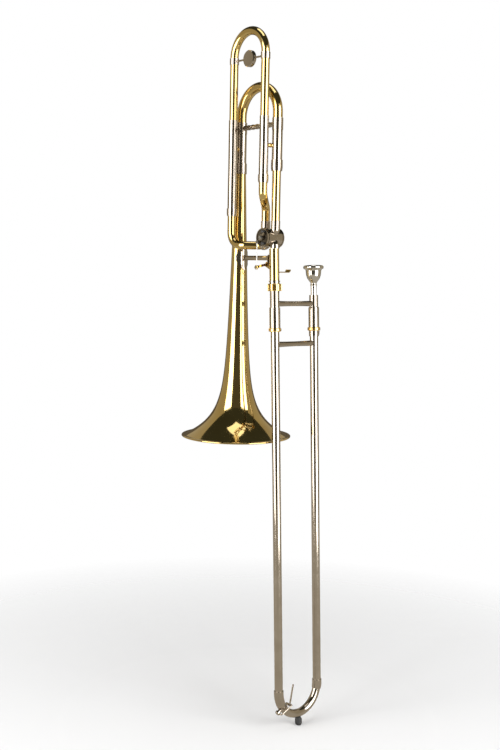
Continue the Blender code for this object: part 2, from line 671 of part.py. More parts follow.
def make_valve_body():
    """The casing with its four ports, the rear bearing plate, the back cap and the stop plate"""
    centre = add_axis("valve_centre", VALVE_CENTRE)
    along = towards((0, 1, 0))
    bore = CASING_RADIUS - CASING_WALL
    rim = CASING_RADIUS + CASING_RIM
    front_wall = -CASING_FRONT + CASING_END_WALL
    profile = [
        (SPINDLE_RADIUS + PIN_CLEARANCE, -CASING_FRONT),
        (rim, -CASING_FRONT),
        (rim, -CASING_FRONT + CASING_RIM_WIDTH),
        (CASING_RADIUS, -CASING_FRONT + CASING_RIM_WIDTH),
        (CASING_RADIUS, CASING_BACK + REAR_PLATE_THICKNESS + GAP),
        (bore, CASING_BACK + REAR_PLATE_THICKNESS + GAP),
        (bore, front_wall),
        (SPINDLE_RADIUS + PIN_CLEARANCE, front_wall),
    ]
    casing = add_piece("valve_casing", turned(profile, along, hollow=True), "nickel_silver", centre)
    combine(casing, port_rings(PORT_RADIUS, 0.0), "UNION")
    cut = turned([(bore, front_wall), (bore, CASING_BACK + 0.02)], along)
    combine(casing, cut, "DIFFERENCE")
    combine(casing, port_rings(PORT_BORE_RADIUS, 0.002), "DIFFERENCE")
    plate_start = CASING_BACK + GAP / 2
    bm = pipe(bore - GAP, SPINDLE_RADIUS + PIN_CLEARANCE, plate_start,
              plate_start + REAR_PLATE_THICKNESS, along)
    add_piece("rear_bearing_plate", bm, "bronze", centre)
    start = CASING_BACK + REAR_PLATE_THICKNESS + 2 * GAP
    profile = [
        (BACK_CAP_RADIUS + CASING_RIM, start),
        (BACK_CAP_RADIUS + CASING_RIM, start + BACK_CAP_THICKNESS * 0.6),
        (BACK_CAP_RADIUS * 0.9, start + BACK_CAP_THICKNESS),
    ]
    add_piece("valve_back_cap", turned(profile, along), "nickel_silver", centre)
    bm = pipe(STOP_PLATE_RADIUS, SPINDLE_RADIUS + 0.0012, PLATE_FRONT, PLATE_BACK, along)
    add_piece("stop_plate", bm, "nickel_silver", centre)
    finger_reach = asin((ARM_WIDTH / 2 + BUMPER_RADIUS + GAP) / BUMPER_CIRCLE)
    finger = ARM_ANGLE - pi
    stops = (("upper", finger + finger_reach), ("lower", finger - VALVE_TURN - finger_reach))
    for name, angle in stops:
        spot = (BUMPER_CIRCLE * cos(angle), PLATE_FRONT - GAP, BUMPER_CIRCLE * sin(angle))
        tip = (spot[0], PLATE_FRONT - GAP - BUMPER_LENGTH, spot[2])
        add_piece(f"stop_bumper_{name}", rod(BUMPER_RADIUS, spot, tip, PIN_SIDES), "rubber", centre)


def make_rotor():
    """The turning part of the valve: rotor with spindle, stop arm and its screw"""
    axis = add_axis("rotor_axis", VALVE_CENTRE)
    along = towards((0, 1, 0))
    radius = CASING_RADIUS - CASING_WALL - GAP
    profile = [
        (SPINDLE_RADIUS, -SPINDLE_TIP),
        (SPINDLE_RADIUS, -ROTOR_HALF_LENGTH),
        (radius, -ROTOR_HALF_LENGTH),
        (radius, ROTOR_HALF_LENGTH),
        (SPINDLE_RADIUS, ROTOR_HALF_LENGTH),
        (SPINDLE_RADIUS, CASING_BACK + REAR_PLATE_THICKNESS),
    ]
    rotor = add_piece("rotor", turned(profile, along), "bronze", axis)
    bm = bmesh.new()
    for side in (1, -1):
        centre_x = side * (radius * cos(pi / 4) + ROTOR_PASSAGE_BEND * cos(pi / 4))
        opening = radians(62)
        path = []
        for step in range(11):
            angle = -opening + 2 * opening * step / 10
            path.append(Vector((centre_x - side * ROTOR_PASSAGE_BEND * cos(angle), 0,
                                ROTOR_PASSAGE_BEND * sin(angle))))
        loft(bm, swept_rings(path, [ROTOR_PASSAGE_RADIUS] * len(path), SMALL_SIDES))
    combine(rotor, bm, "DIFFERENCE")
    make_stop_arm(axis)


def make_stop_arm(axis):
    """The arm that the rod turns, the finger that meets the bumpers, and the screw that holds them"""
    facing = Matrix.Rotation(radians(90), 4, "X")
    facing = Matrix.Translation((0, (ARM_BACK + ARM_FRONT) / 2, 0)) @ facing
    end = (ARM_END.x, ARM_END.z)
    finger = (-end[0] * 0.93, -end[1] * 0.93)
    half = ARM_WIDTH / 2
    bm = plate(link_outline(finger, half, end, half), ARM_THICKNESS, facing)
    arm = add_piece("stop_arm", bm, "nickel_silver", axis)
    hub = rod(ARM_HUB_RADIUS, (0, ARM_BACK + GAP, 0), (0, ARM_FRONT - GAP / 2, 0))
    combine(arm, hub, "UNION")
    pin = rod(LINK_PIN_RADIUS, (ARM_END.x, ARM_FRONT + ARM_THICKNESS / 2, ARM_END.z),
              (ARM_END.x, ROD_FRONT - GAP, ARM_END.z), PIN_SIDES)
    combine(arm, pin, "UNION")
    bore = rod(SPINDLE_RADIUS + GAP, (0, 0, 0), (0, ARM_FRONT - 0.01, 0))
    combine(arm, bore, "DIFFERENCE")
    start = ARM_FRONT - GAP
    profile = [
        (SCREW_HEAD_RADIUS, start),
        (SCREW_HEAD_RADIUS, start - SCREW_HEAD_HEIGHT * 0.7),
        (SCREW_HEAD_RADIUS * 0.8, start - SCREW_HEAD_HEIGHT),
    ]
    add_piece("stop_arm_screw", turned(profile, towards((0, 1, 0))), "steel", axis)


def make_connecting_rod():
    """The thin rod between the stop arm and the thumb lever, hung on the arm's pin"""
    top = VALVE_CENTRE + ARM_END
    axis = add_axis("connecting_rod_axis", (top.x, ROD_Y, top.z))
    drop = top.z - LEVER_ROD_HEIGHT
    bm = rod(ROD_RADIUS, (0, 0, -ROD_EYE_RADIUS * 0.7), (0, 0, -drop + ROD_EYE_RADIUS * 0.8), PIN_SIDES)
    link = add_piece("connecting_rod", bm, "steel", axis)
    half = ROD_EYE_THICKNESS / 2
    combine(link, rod(ROD_EYE_RADIUS * 0.75, (0, -half, 0), (0, half, 0)), "UNION")
    combine(link, rod(ROD_EYE_RADIUS, (-half, 0, -drop), (half, 0, -drop)), "UNION")
    cut = rod(LINK_PIN_RADIUS + PIN_CLEARANCE, (0, -2 * half, 0), (0, 2 * half, 0), PIN_SIDES)
    rod(ROD_EYE_BORE, (-2 * half, 0, -drop), (2 * half, 0, -drop), bm=cut)
    combine(link, cut, "DIFFERENCE")


def make_thumb_lever():
    """The lever that works the valve: front arm, web at the pivot, and the curled thumb paddle"""
    axis = add_axis("thumb_lever_axis", (LEVER_X, 0, LEVER_PIVOT_HEIGHT))
    drop = LEVER_ROD_HEIGHT - LEVER_PIVOT_HEIGHT
    upright = Matrix(((0, 0, 1, 0), (1, 0, 0, 0), (0, 1, 0, 0), (0, 0, 0, 1)))
    boss = LEVER_BOSS_RADIUS
    low = -LEVER_WEB_DROP
    front = ROD_Y - 0.0045
    outline = [(front, drop - 0.0018), (-boss * 2, -boss * 1.2), (LEVER_WEB_REACH, low - 0.0016)]
    outline += [(LEVER_PADDLE_START + 0.004, low - 0.0016), (LEVER_PADDLE_START + 0.004, low + 0.0006)]
    outline += [(LEVER_WEB_REACH, low + 0.0022)] + arc((0, 0), boss, 0, pi * 0.9, 7)
    outline += [(front, drop + 0.0018)]
    lever = add_piece("thumb_lever", plate(outline, LEVER_THICKNESS, upright), "lacquered_brass", axis)
    thick = LEVER_PADDLE_THICKNESS
    tip = LEVER_PADDLE_LENGTH
    curl_centre = (tip - LEVER_PADDLE_CURL, low + LEVER_PADDLE_CURL)
    under = arc(curl_centre, LEVER_PADDLE_CURL + thick / 2, -pi / 2, 0, 5)
    over = arc(curl_centre, LEVER_PADDLE_CURL - thick / 2, 0, -pi / 2, 5)
    start = LEVER_PADDLE_START
    outline = [(start, low - thick / 2)] + under + over + [(start, low + thick / 2)]
    combine(lever, plate(outline, LEVER_PADDLE_WIDTH, upright), "UNION")
    outer = ROD_X - ROD_EYE_THICKNESS / 2 - 0.0042 - LEVER_X
    pin = rod(LINK_PIN_RADIUS, (0, ROD_Y, drop), (outer, ROD_Y, drop), PIN_SIDES)
    combine(lever, pin, "UNION")
    bore = rod(PIVOT_RADIUS + PIN_CLEARANCE, (-LEVER_THICKNESS, 0, 0), (LEVER_THICKNESS, 0, 0), PIN_SIDES)
    combine(lever, bore, "DIFFERENCE")


def make_lever_mount():
    """The bracket on the bell brace and the pivot screw"""
    brace = Vector((BRACKET_X, 0, BRACE_HEIGHT))
    pivot = Vector((BRACKET_X, 0, LEVER_PIVOT_HEIGHT))
    upright = Matrix(((0, 0, 1, BRACKET_X), (1, 0, 0, 0), (0, 1, 0, 0), (0, 0, 0, 1)))
    outline = link_outline((0, pivot.z), 0.0042, (0, brace.z), BRACE_RADIUS + 0.0022)
    bracket = add_piece("lever_bracket", plate(outline, BRACKET_THICKNESS, upright), "nickel_silver")
    reach = Vector((BRACKET_THICKNESS, 0, 0))
    cut = rod(BRACE_RADIUS + GAP, brace - reach, brace + reach)
    rod(PIVOT_RADIUS + PIN_CLEARANCE, pivot - reach, pivot + reach, PIN_SIDES, cut)
    combine(bracket, cut, "DIFFERENCE")
    head = LEVER_X - LEVER_THICKNESS / 2 - GAP
    tail = BRACKET_X + BRACKET_THICKNESS / 2
    profile = [
        (SCREW_HEAD_RADIUS * 0.75, head - SCREW_HEAD_HEIGHT * 0.6),
        (SCREW_HEAD_RADIUS, head - SCREW_HEAD_HEIGHT * 0.4),
        (SCREW_HEAD_RADIUS, head),
        (PIVOT_RADIUS, head),
        (PIVOT_RADIUS, tail),
    ]
    place = towards((1, 0, 0), (0, 0, LEVER_PIVOT_HEIGHT))
    add_piece("lever_pivot_screw", turned(profile, place, SMALL_SIDES), "gold_plate")

def slide_place(level, side=0):
    """A placement on one of the slide's two tubes, at a level below the neck origin"""
    return Matrix.Translation(SLIDE_SIDE[side] + DOWN * level)


def make_bell_brace(neck):
    """The brace from the bell to the neckpipe, and the leaf-shaped flange that seats it on the bell"""
    seat = bell_radius(BRACE_HEIGHT)
    rings = []
    rows = 9
    columns = 12
    for row in range(rows):
        share = -1 + 2 * row / (rows - 1)
        height = BRACE_HEIGHT + FLANGE_HALF_HEIGHT * share
        inner = bell_radius(height) + 2 * GAP
        half_angle = FLANGE_HALF_ANGLE * max(1 - abs(share) ** 1.6, 0.06)
        angles = [-half_angle + 2 * half_angle * i / columns for i in range(columns + 1)]
        ring = [Vector(((inner + FLANGE_THICKNESS) * cos(a), (inner + FLANGE_THICKNESS) * sin(a), height))
                for a in angles]
        ring += [Vector((inner * cos(a), inner * sin(a), height)) for a in reversed(angles)]
        rings.append(ring)
    add_piece("bell_brace_flange", loft(bmesh.new(), rings), "nickel_silver")
    start = seat + FLANGE_THICKNESS + 4 * GAP
    neck_x = MAIN_X + tan(SLIDE_LEAN) * (NECK_ORIGIN - BRACE_HEIGHT)
    end = neck_x - NECKPIPE_RADIUS / cos(SLIDE_LEAN) - 2 * GAP
    ring = BRACE_RING_RADIUS
    profile = [
        (ring, start),
        (ring, start + BRACE_RING_WIDTH),
        (BRACE_RADIUS, start + BRACE_RING_WIDTH),
        (BRACE_RADIUS, end),
    ]
    place = towards((1, 0, 0), (0, 0, BRACE_HEIGHT))
    add_piece("bell_brace", turned(profile, place, SMALL_SIDES), "nickel_silver")


def make_neck(slide_frame):
    """The neckpipe and the threaded receiver below it, both in line with the slide"""
    port_bottom = VALVE_HEIGHT - PORT_LENGTH
    rise = (port_bottom - NECK_ORIGIN) / cos(SLIDE_LEAN) - NECKPIPE_RADIUS * tan(SLIDE_LEAN) - GAP
    bore = NECKPIPE_RADIUS - NECKPIPE_WALL
    bm = pipe(NECKPIPE_RADIUS, bore, -NECK_RING_LEVEL + GAP, rise)
    add_piece("neckpipe", bm, "lacquered_brass", slide_frame)
    socket = TENON_RADIUS + GAP
    ring_low = -NECK_RING_LEVEL - NECK_RING_THICKNESS
    profile = [
        (bore, -NECK_RING_LEVEL),
        (NECK_RING_RADIUS, -NECK_RING_LEVEL),
        (NECK_RING_RADIUS, ring_low),
        (NECKPIPE_RADIUS + GAP, ring_low),
        (NECKPIPE_RADIUS + GAP, -NUT_TOP),
        (THREAD_RADIUS, -NUT_TOP),
        (THREAD_RADIUS, -THREAD_END),
        (socket, -THREAD_END),
        (socket, ring_low),
        (bore, ring_low),
    ]
    add_piece("neck_receiver", turned(profile, hollow=True), "nickel_silver", slide_frame)


def make_lock_nut(slide_frame):
    """The fluted nut that draws the slide section up to the neck receiver"""
    axis = add_axis("lock_nut_axis", DOWN * NUT_TOP, parent=slide_frame)
    length = NUT_BOTTOM - NUT_TOP
    bore = THREAD_RADIUS + GAP
    lip = SLIDE_TUBE_RADIUS + GAP
    seat = THREAD_END + 2 * GAP + TENON_FLANGE_THICKNESS - NUT_TOP
    chamfer = NUT_FLUTE_DEPTH
    sections = [
        (NUT_RADIUS - chamfer, 0.0, True),
        (NUT_RADIUS, -chamfer, True),
        (NUT_RADIUS, -length + chamfer, True),
        (NUT_RADIUS - chamfer, -length, True),
        (lip, -length, False),
        (lip, -seat, False),
        (bore, -seat, False),
        (bore, 0.0, False),
    ]
    sides = 2 * TUBE_SIDES
    rings = []
    for radius, height, fluted in sections:
        ring = []
        for i in range(sides):
            angle = 2 * pi * i / sides
            depth = NUT_FLUTE_DEPTH if fluted and i % 4 == 0 else 0.0
            ring.append(Vector(((radius - depth) * cos(angle), (radius - depth) * sin(angle), height)))
        rings.append(ring)
    add_piece("bell_lock_nut", loft(bmesh.new(), rings, hollow=True), "gold_plate", axis)


def barrel_profile(tube_radius, bottom):
    """A cork barrel: a wide tube closed at its top onto the tube that it sits on"""
    bore = BARREL_RADIUS - BARREL_WALL
    hole = INNER_RADIUS + GAP
    shoulder = tube_radius + 0.0006
    return [
        (shoulder, -BARREL_TOP),
        (BARREL_RADIUS, -BARREL_TOP - 0.0024),
        (BARREL_RADIUS, -bottom),
        (bore, -bottom),
        (bore, -BARREL_TOP - BARREL_END_WALL),
        (hole, -BARREL_TOP - BARREL_END_WALL),
        (hole, -BARREL_TOP),
    ]


def make_slide_section(slide_frame):
    """The inner half of the hand slide, which turns about the neck joint"""
    axis = add_axis("slide_section_axis", (0, 0, 0), parent=slide_frame)
    flange_top = THREAD_END + GAP
    flange_low = flange_top + TENON_FLANGE_THICKNESS
    bore = INNER_RADIUS + GAP
    bottom = BARREL_TOP - GAP
    profile = [
        (TENON_RADIUS, -TENON_TOP),
        (TENON_RADIUS, -flange_top),
        (TENON_FLANGE_RADIUS, -flange_top),
        (TENON_FLANGE_RADIUS, -flange_low),
        (SLIDE_TUBE_RADIUS, -flange_low),
        (SLIDE_TUBE_RADIUS, -bottom),
        (bore, -bottom),
        (bore, -INNER_TOP + GAP),
        (TENON_RADIUS - 0.0012, -INNER_TOP + GAP),
        (TENON_RADIUS - 0.0012, -TENON_TOP),
    ]
    add_piece("slide_tenon_tube", turned(profile, hollow=True), "nickel_silver", axis)
    for side, name in enumerate(("left", "right")):
        place = slide_place(0, side)
        bm = pipe(INNER_RADIUS, INNER_RADIUS - INNER_WALL, -INNER_BOTTOM, -INNER_TOP, place)
        add_piece(f"inner_slide_tube_{name}", bm, "polished_nickel", axis)
        tube_radius = (SLIDE_TUBE_RADIUS, RECEIVER_RADIUS)[side]
        bm = turned(barrel_profile(tube_radius, BARREL_BOTTOM), place, hollow=True)
        add_piece(f"cork_barrel_{name}", bm, "nickel_silver", axis)
    profile = [
        (GOLD_RING_RADIUS - 0.0008, -BARREL_BOTTOM - GAP),
        (GOLD_RING_RADIUS, -BARREL_BOTTOM - 0.0016),
        (GOLD_RING_RADIUS, -GOLD_RING_BOTTOM + 0.0012),
        (GOLD_RING_RADIUS - 0.0010, -GOLD_RING_BOTTOM),
        (OUTER_RADIUS + 2 * GAP, -GOLD_RING_BOTTOM),
        (OUTER_RADIUS + 2 * GAP, -BARREL_BOTTOM - GAP),
    ]
    add_piece("barrel_ring_left", turned(profile, hollow=True), "gold_plate", axis)
    make_receiver(axis)
    make_slide_brace("upper_slide_brace", UPPER_BRACE_LEVEL, SLIDE_TUBE_RADIUS, RECEIVER_RADIUS, axis)
    return axis


def make_receiver(axis):
    """The mouthpiece receiver, with the leadpipe inside the right inner tube"""
    place = slide_place(0, 1)
    bore = INNER_RADIUS + GAP
    mouth = LEADPIPE_RADIUS + GAP
    profile = [
        (RECEIVER_RADIUS, -RECEIVER_TOP),
        (RECEIVER_RADIUS, -BARREL_TOP + GAP),
        (bore, -BARREL_TOP + GAP),
        (bore, -INNER_TOP + GAP),
        (mouth, -INNER_TOP + GAP),
        (mouth, -RECEIVER_TOP),
    ]
    add_piece("mouthpiece_receiver", turned(profile, place, hollow=True), "nickel_silver", axis)
    low = -RECEIVER_TOP - LEADPIPE_LENGTH
    profile = [
        (LEADPIPE_RADIUS, -RECEIVER_TOP),
        (LEADPIPE_RADIUS, low),
        (LEADPIPE_BORE_BOTTOM, low),
        (LEADPIPE_BORE_TOP, -RECEIVER_TOP),
    ]
    add_piece("leadpipe", turned(profile, place, hollow=True), "lacquered_brass", axis)


def make_slide_brace(name, level, left_radius, right_radius, parent):
    """A waisted brace across the slide, its ends hollowed to fit both tubes"""
    length = SLIDE_SPACING
    stations = (0.0, 0.13, 0.30, 0.50, 0.70, 0.87, 1.0)
    profile = []
    for share in stations:
        swell = (2 * share - 1) ** 2
        radius = SLIDE_BRACE_WAIST + (SLIDE_BRACE_RADIUS - SLIDE_BRACE_WAIST) * swell
        profile.append((radius, length * share))
    place = towards((0, 1, 0), (0, 0, -level))
    brace = add_piece(name, turned(profile, place, SMALL_SIDES), "nickel_silver", parent)
    span = 4 * SLIDE_BRACE_RADIUS
    cut = bmesh.new()
    for side, radius in enumerate((left_radius, right_radius)):
        foot = SLIDE_SIDE[side] + DOWN * (level + span / 2)
        turned([(radius + GAP, 0), (radius + GAP, span)], Matrix.Translation(foot), 2 * TUBE_SIDES, bm=cut)
    combine(brace, cut, "DIFFERENCE")
    return brace


def make_slide_lock(section_axis):
    """The turning lock ring below the right barrel"""
    axis = add_axis("lock_ring_axis", SLIDE_SIDE[1] + DOWN * (BARREL_BOTTOM + GAP), parent=section_axis)
    length = LOCK_RING_BOTTOM - BARREL_BOTTOM - GAP
    bore = OUTER_RADIUS + 2 * GAP
    profile = [
        (LOCK_RING_RADIUS - 0.0008, 0.0),
        (LOCK_RING_RADIUS, -length * 0.25),
        (LOCK_RING_RADIUS, -length * 0.8),
        (LOCK_RING_RADIUS - 0.0010, -length),
        (bore, -length),
        (bore, 0.0),
    ]
    add_piece("slide_lock_ring", turned(profile, hollow=True), "gold_plate", axis)


def crook_point(angle, radius):
    """A point in the crook's plane: angle 0 points to the left leg and 90 degrees points down"""
    centre = Vector((0, SLIDE_SPACING / 2, -CROOK_CENTRE))
    return centre + Vector((0, -cos(angle), -sin(angle))) * radius


def make_hand_slide(slide_frame):
    """The outer half of the hand slide: two tubes, brace, crook, ferrules, lock collar and bumper"""
    axis = add_axis("hand_slide_axis", (0, 0, 0), parent=slide_frame)
    for side, name in enumerate(("left", "right")):
        bm = pipe(OUTER_RADIUS, OUTER_RADIUS - OUTER_WALL, -OUTER_BOTTOM, -OUTER_TOP, slide_place(0, side))
        add_piece(f"outer_slide_tube_{name}", bm, "nickel_silver", axis)
    make_slide_brace("lower_slide_brace", LOWER_BRACE_LEVEL, OUTER_RADIUS, OUTER_RADIUS, axis)
    make_lock_collar(axis)
    bend = SLIDE_SPACING / 2
    leg = CROOK_CENTRE - OUTER_BOTTOM - GAP
    path = bow_path(SLIDE_SIDE[0], SLIDE_SIDE[1], (0, bend, -CROOK_CENTRE), (leg, leg), away=DOWN)
    bm = swept_pipe(path, [CROOK_RADIUS] * len(path), CROOK_WALL)
    crook = add_piece("slide_crook", bm, "nickel_silver", axis)
    outward = crook_point(NIPPLE_ANGLE, 1) - crook_point(NIPPLE_ANGLE, 0)
    skin = bend + CROOK_RADIUS
    profile = [
        (NIPPLE_RADIUS * 1.15, -CROOK_WALL * 1.6),
        (NIPPLE_RADIUS, NIPPLE_HEIGHT * 0.3),
        (NIPPLE_RADIUS, NIPPLE_HEIGHT),
    ]
    nipple = turned(profile, towards(outward, crook_point(NIPPLE_ANGLE, skin)), SMALL_SIDES)
    combine(crook, nipple, "UNION")
    make_crook_ferrule("crook_ferrule_left", 0.0, LEFT_FERRULE_TOP, LEFT_FERRULE_STEPS, axis)
    make_crook_ferrule("crook_ferrule_right", pi, RIGHT_FERRULE_TOP, RIGHT_FERRULE_STEPS, axis)
    top = CROOK_CENTRE + bend + CROOK_RADIUS + GAP
    low = top + BUMPER_TIP_LENGTH
    profile = [
        (BUMPER_TIP_RADIUS * 0.72, -top),
        (BUMPER_TIP_RADIUS, -top - 0.0040),
        (BUMPER_TIP_RADIUS, -low + 0.0042),
        (BUMPER_TIP_RADIUS * 0.92, -low + 0.0018),
        (BUMPER_FACE_RADIUS, -low),
    ]
    bm = turned(profile, Matrix.Translation((0, bend, 0)))
    add_piece("slide_bumper", bm, "rubber", axis)
    return axis


def make_lock_collar(axis):
    """The collar on the right outer tube, with the hook that the lock ring catches"""
    top = -LOCK_RING_BOTTOM - GAP
    low = top - LOCK_COLLAR_LENGTH
    bore = OUTER_RADIUS + GAP
    bm = pipe(LOCK_COLLAR_RADIUS, bore, low, top, slide_place(0, 1))
    collar = add_piece("lock_collar", bm, "nickel_silver", axis)
    inner = LOCK_COLLAR_RADIUS - 0.0007
    outline = [(inner, low + 0.0022), (LOCK_COLLAR_RADIUS + HOOK_REACH * 0.45, low + 0.0022),
               (LOCK_COLLAR_RADIUS + HOOK_REACH * 0.62, top - 0.0006), (inner, top - 0.0006)]
    upright = Matrix(((0, 0, 1, 0), (1, 0, 0, SLIDE_SPACING), (0, 1, 0, 0), (0, 0, 0, 1)))
    combine(collar, plate(outline, HOOK_WIDTH, upright), "UNION")


def make_crook_ferrule(name, angle, top, steps, axis):
    """A ferrule that follows the crook from its tube a few of its steps round the bend"""
    radius = SLIDE_SPACING / 2
    path = [crook_point(angle, radius) + Vector((0, 0, CROOK_CENTRE - top))]
    turn = (1 if angle == 0.0 else -1) * pi / BOW_STEPS
    for step in range(steps + 1):
        path.append(crook_point(angle + turn * step, radius))
    outer = OUTER_RADIUS + GAP + CROOK_FERRULE_WALL
    bore = OUTER_RADIUS + GAP
    radii = [outer] * (len(path) - 1) + [outer - CROOK_FERRULE_WALL * 0.5]
    rings = swept_rings(path, radii, TUBE_SIDES)
    rings += swept_rings(path, [bore] * len(path), TUBE_SIDES)[::-1]
    add_piece(name, loft(bmesh.new(), rings, hollow=True), "nickel_silver", axis)


def make_water_key(hand_axis):
    """The water key: its post on the crook, and the sprung key on its screw"""
    bend = SLIDE_SPACING / 2
    skin = bend + CROOK_RADIUS
    outward = crook_point(NIPPLE_ANGLE, 1) - crook_point(NIPPLE_ANGLE, 0)
    hinge_radius = bend - CROOK_RADIUS - GAP - KEY_HINGE_OFFSET
    hinge = crook_point(KEY_ANGLE, hinge_radius)
    inward = (hinge - crook_point(KEY_ANGLE, bend)).normalized()
    half = KEY_POST_LENGTH / 2
    base = crook_point(KEY_ANGLE, bend - CROOK_RADIUS - GAP)
    post = add_piece("water_key_post", rod(KEY_BARREL_RADIUS, hinge - Vector((half, 0, 0)),
                                           hinge + Vector((half, 0, 0))), "nickel_silver", hand_axis)
    combine(post, rod(KEY_BARREL_RADIUS * 0.8, base, hinge), "UNION")
    bore = PIVOT_RADIUS * 0.7 + PIN_CLEARANCE
    reach = Vector((4 * half, 0, 0))
    combine(post, rod(bore, hinge - reach, hinge + reach, PIN_SIDES), "DIFFERENCE")
    key_start = half + GAP
    key_end = key_start + KEY_BARREL_LENGTH
    head = -half - GAP
    profile = [
        (KEY_BARREL_RADIUS * 0.9, head - 0.0018),
        (KEY_BARREL_RADIUS, head - 0.0010),
        (KEY_BARREL_RADIUS, head),
        (PIVOT_RADIUS * 0.7, head),
        (PIVOT_RADIUS * 0.7, key_end + 0.0006),
    ]
    bm = turned(profile, towards((1, 0, 0), hinge), SMALL_SIDES)
    add_piece("water_key_screw", bm, "steel", hand_axis)
    axis = add_axis("water_key_axis", hinge, parent=hand_axis)
    middle = Vector(((key_start + key_end) / 2, 0, 0))
    half_key = Vector((KEY_BARREL_LENGTH / 2, 0, 0))
    bm = rod(KEY_BARREL_RADIUS, middle - half_key, middle + half_key)
    key = add_piece("water_key_lever", bm, "nickel_silver", axis)
    side = CROOK_RADIUS + CROOK_FERRULE_WALL + 3 * GAP + KEY_ARM_RADIUS
    cup_low = skin + NIPPLE_HEIGHT + GAP
    cup_middle = crook_point(NIPPLE_ANGLE, cup_low + KEY_CUP_HEIGHT * 0.6) - hinge
    across = Vector((side, 0, 0))
    arm_start = middle + inward * KEY_ARM_RADIUS * 0.2
    corners = [arm_start, across + inward * 0.001, across + cup_middle, cup_middle]
    path = rounded_path(corners, (0.0018, 0.0030), 3)
    combine(key, swept_rod(path, KEY_ARM_RADIUS, PIN_SIDES), "UNION")
    cup = crook_point(NIPPLE_ANGLE, cup_low) - hinge
    profile = [(KEY_CUP_RADIUS, 0), (KEY_CUP_RADIUS, KEY_CUP_HEIGHT * 0.7),
               (KEY_CUP_RADIUS * 0.75, KEY_CUP_HEIGHT)]
    combine(key, turned(profile, towards(outward, cup), SMALL_SIDES), "UNION")
    finger = Vector((0, sin(KEY_FINGER_LEAN), cos(KEY_FINGER_LEAN)))
    tip = middle + finger * KEY_FINGER_LENGTH
    combine(key, rod(KEY_ARM_RADIUS * 1.1, middle, tip, PIN_SIDES), "UNION")
    bore_screw = PIVOT_RADIUS * 0.7 + PIN_CLEARANCE
    cut = rod(bore_screw, middle - half_key * 2, middle + half_key * 2, PIN_SIDES)
    combine(key, cut, "DIFFERENCE")


def make_mouthpiece(section_axis):
    """The mouthpiece: rounded rim, cup, throat, backbore and a shank that sits in the leadpipe"""
    axis = add_axis("mouthpiece_axis", SLIDE_SIDE[1] + DOWN * RECEIVER_TOP, parent=section_axis)
    top = RECEIVER_TOP - MOUTHPIECE_TOP
    rim = CUP_RIM_RADIUS
    cup = CUP_BORE_RADIUS
    outer = [
        (cup + 0.0030, top),
        (rim - 0.0012, top - 0.0008),
        (rim, top - 0.0030),
        (rim - 0.0007, top - 0.0062),
        (rim * 0.78, top - 0.0088),
        (rim * 0.72, top - 0.0177),
        (rim * 0.58, top - 0.0250),
        (rim * 0.36, top - 0.0305),
        (SHANK_RADIUS * 1.06, top - 0.0335),
        (SHANK_RADIUS * 1.24, top - 0.0360),
        (SHANK_RADIUS * 1.06, top - 0.0385),
        (SHANK_RADIUS, 0.0008),
        (SHANK_TIP_RADIUS, -SHANK_DEPTH),
    ]
    inner = [
        (SHANK_TIP_RADIUS - 0.0007, -SHANK_DEPTH),
        (THROAT_RADIUS, top - 0.0330),
        (THROAT_RADIUS, top - 0.0280),
        (cup * 0.62, top - 0.0205),
        (cup * 0.90, top - 0.0110),
        (cup, top - 0.0030),
        (cup + 0.0012, top - 0.0006),
    ]
    bm = turned(outer + inner, sides=24, hollow=True)
    add_piece("mouthpiece", bm, "polished_nickel", axis)


def main():
    clear_scene()
    slide_frame = add_axis("slide_frame", (MAIN_X, 0, NECK_ORIGIN), (0, -SLIDE_LEAN, 0))
    make_bell()
    make_tuning_sleeves()
    make_gooseneck()
    make_main_tuning_slide()
    make_loop_slide()
    make_loop_tubing()
    make_valve_body()
    make_rotor()
    make_connecting_rod()
    make_thumb_lever()
    make_lever_mount()
    make_bell_brace(slide_frame)
    make_neck(slide_frame)
    make_lock_nut(slide_frame)
    section_axis = make_slide_section(slide_frame)
    make_slide_lock(section_axis)
    make_mouthpiece(section_axis)
    hand_axis = make_hand_slide(slide_frame)
    make_water_key(hand_axis)


main()
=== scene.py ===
import json

import bpy
import bmesh
from math import asin, atan2, cos, exp, pi, radians, sin, sqrt, tan
from mathutils import Matrix, Vector

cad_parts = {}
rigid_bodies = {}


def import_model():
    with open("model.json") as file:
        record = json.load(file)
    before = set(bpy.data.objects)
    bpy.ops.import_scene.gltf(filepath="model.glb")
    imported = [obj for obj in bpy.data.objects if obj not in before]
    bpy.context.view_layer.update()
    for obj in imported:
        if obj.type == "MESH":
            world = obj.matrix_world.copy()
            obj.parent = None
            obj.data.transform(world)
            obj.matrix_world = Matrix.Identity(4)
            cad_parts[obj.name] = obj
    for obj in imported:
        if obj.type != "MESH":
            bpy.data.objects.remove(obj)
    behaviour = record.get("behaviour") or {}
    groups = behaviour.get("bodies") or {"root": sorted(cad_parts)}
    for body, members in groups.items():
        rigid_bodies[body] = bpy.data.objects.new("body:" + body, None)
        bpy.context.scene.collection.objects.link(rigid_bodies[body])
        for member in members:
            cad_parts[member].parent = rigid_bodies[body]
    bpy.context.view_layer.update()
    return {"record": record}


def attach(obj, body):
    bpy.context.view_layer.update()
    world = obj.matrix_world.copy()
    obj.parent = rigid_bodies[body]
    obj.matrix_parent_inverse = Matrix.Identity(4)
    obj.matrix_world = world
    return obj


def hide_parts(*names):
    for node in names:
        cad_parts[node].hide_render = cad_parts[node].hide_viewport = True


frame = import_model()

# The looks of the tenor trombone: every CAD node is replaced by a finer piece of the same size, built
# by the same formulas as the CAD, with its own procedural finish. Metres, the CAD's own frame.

# General clearances and mesh fineness
GAP = 0.0003
TUBE_SIDES = 48
BOW_STEPS = 36
CORNER_STEPS = 10
SMALL_SIDES = 24
PIN_SIDES = 20
PIN_CLEARANCE = 0.0003

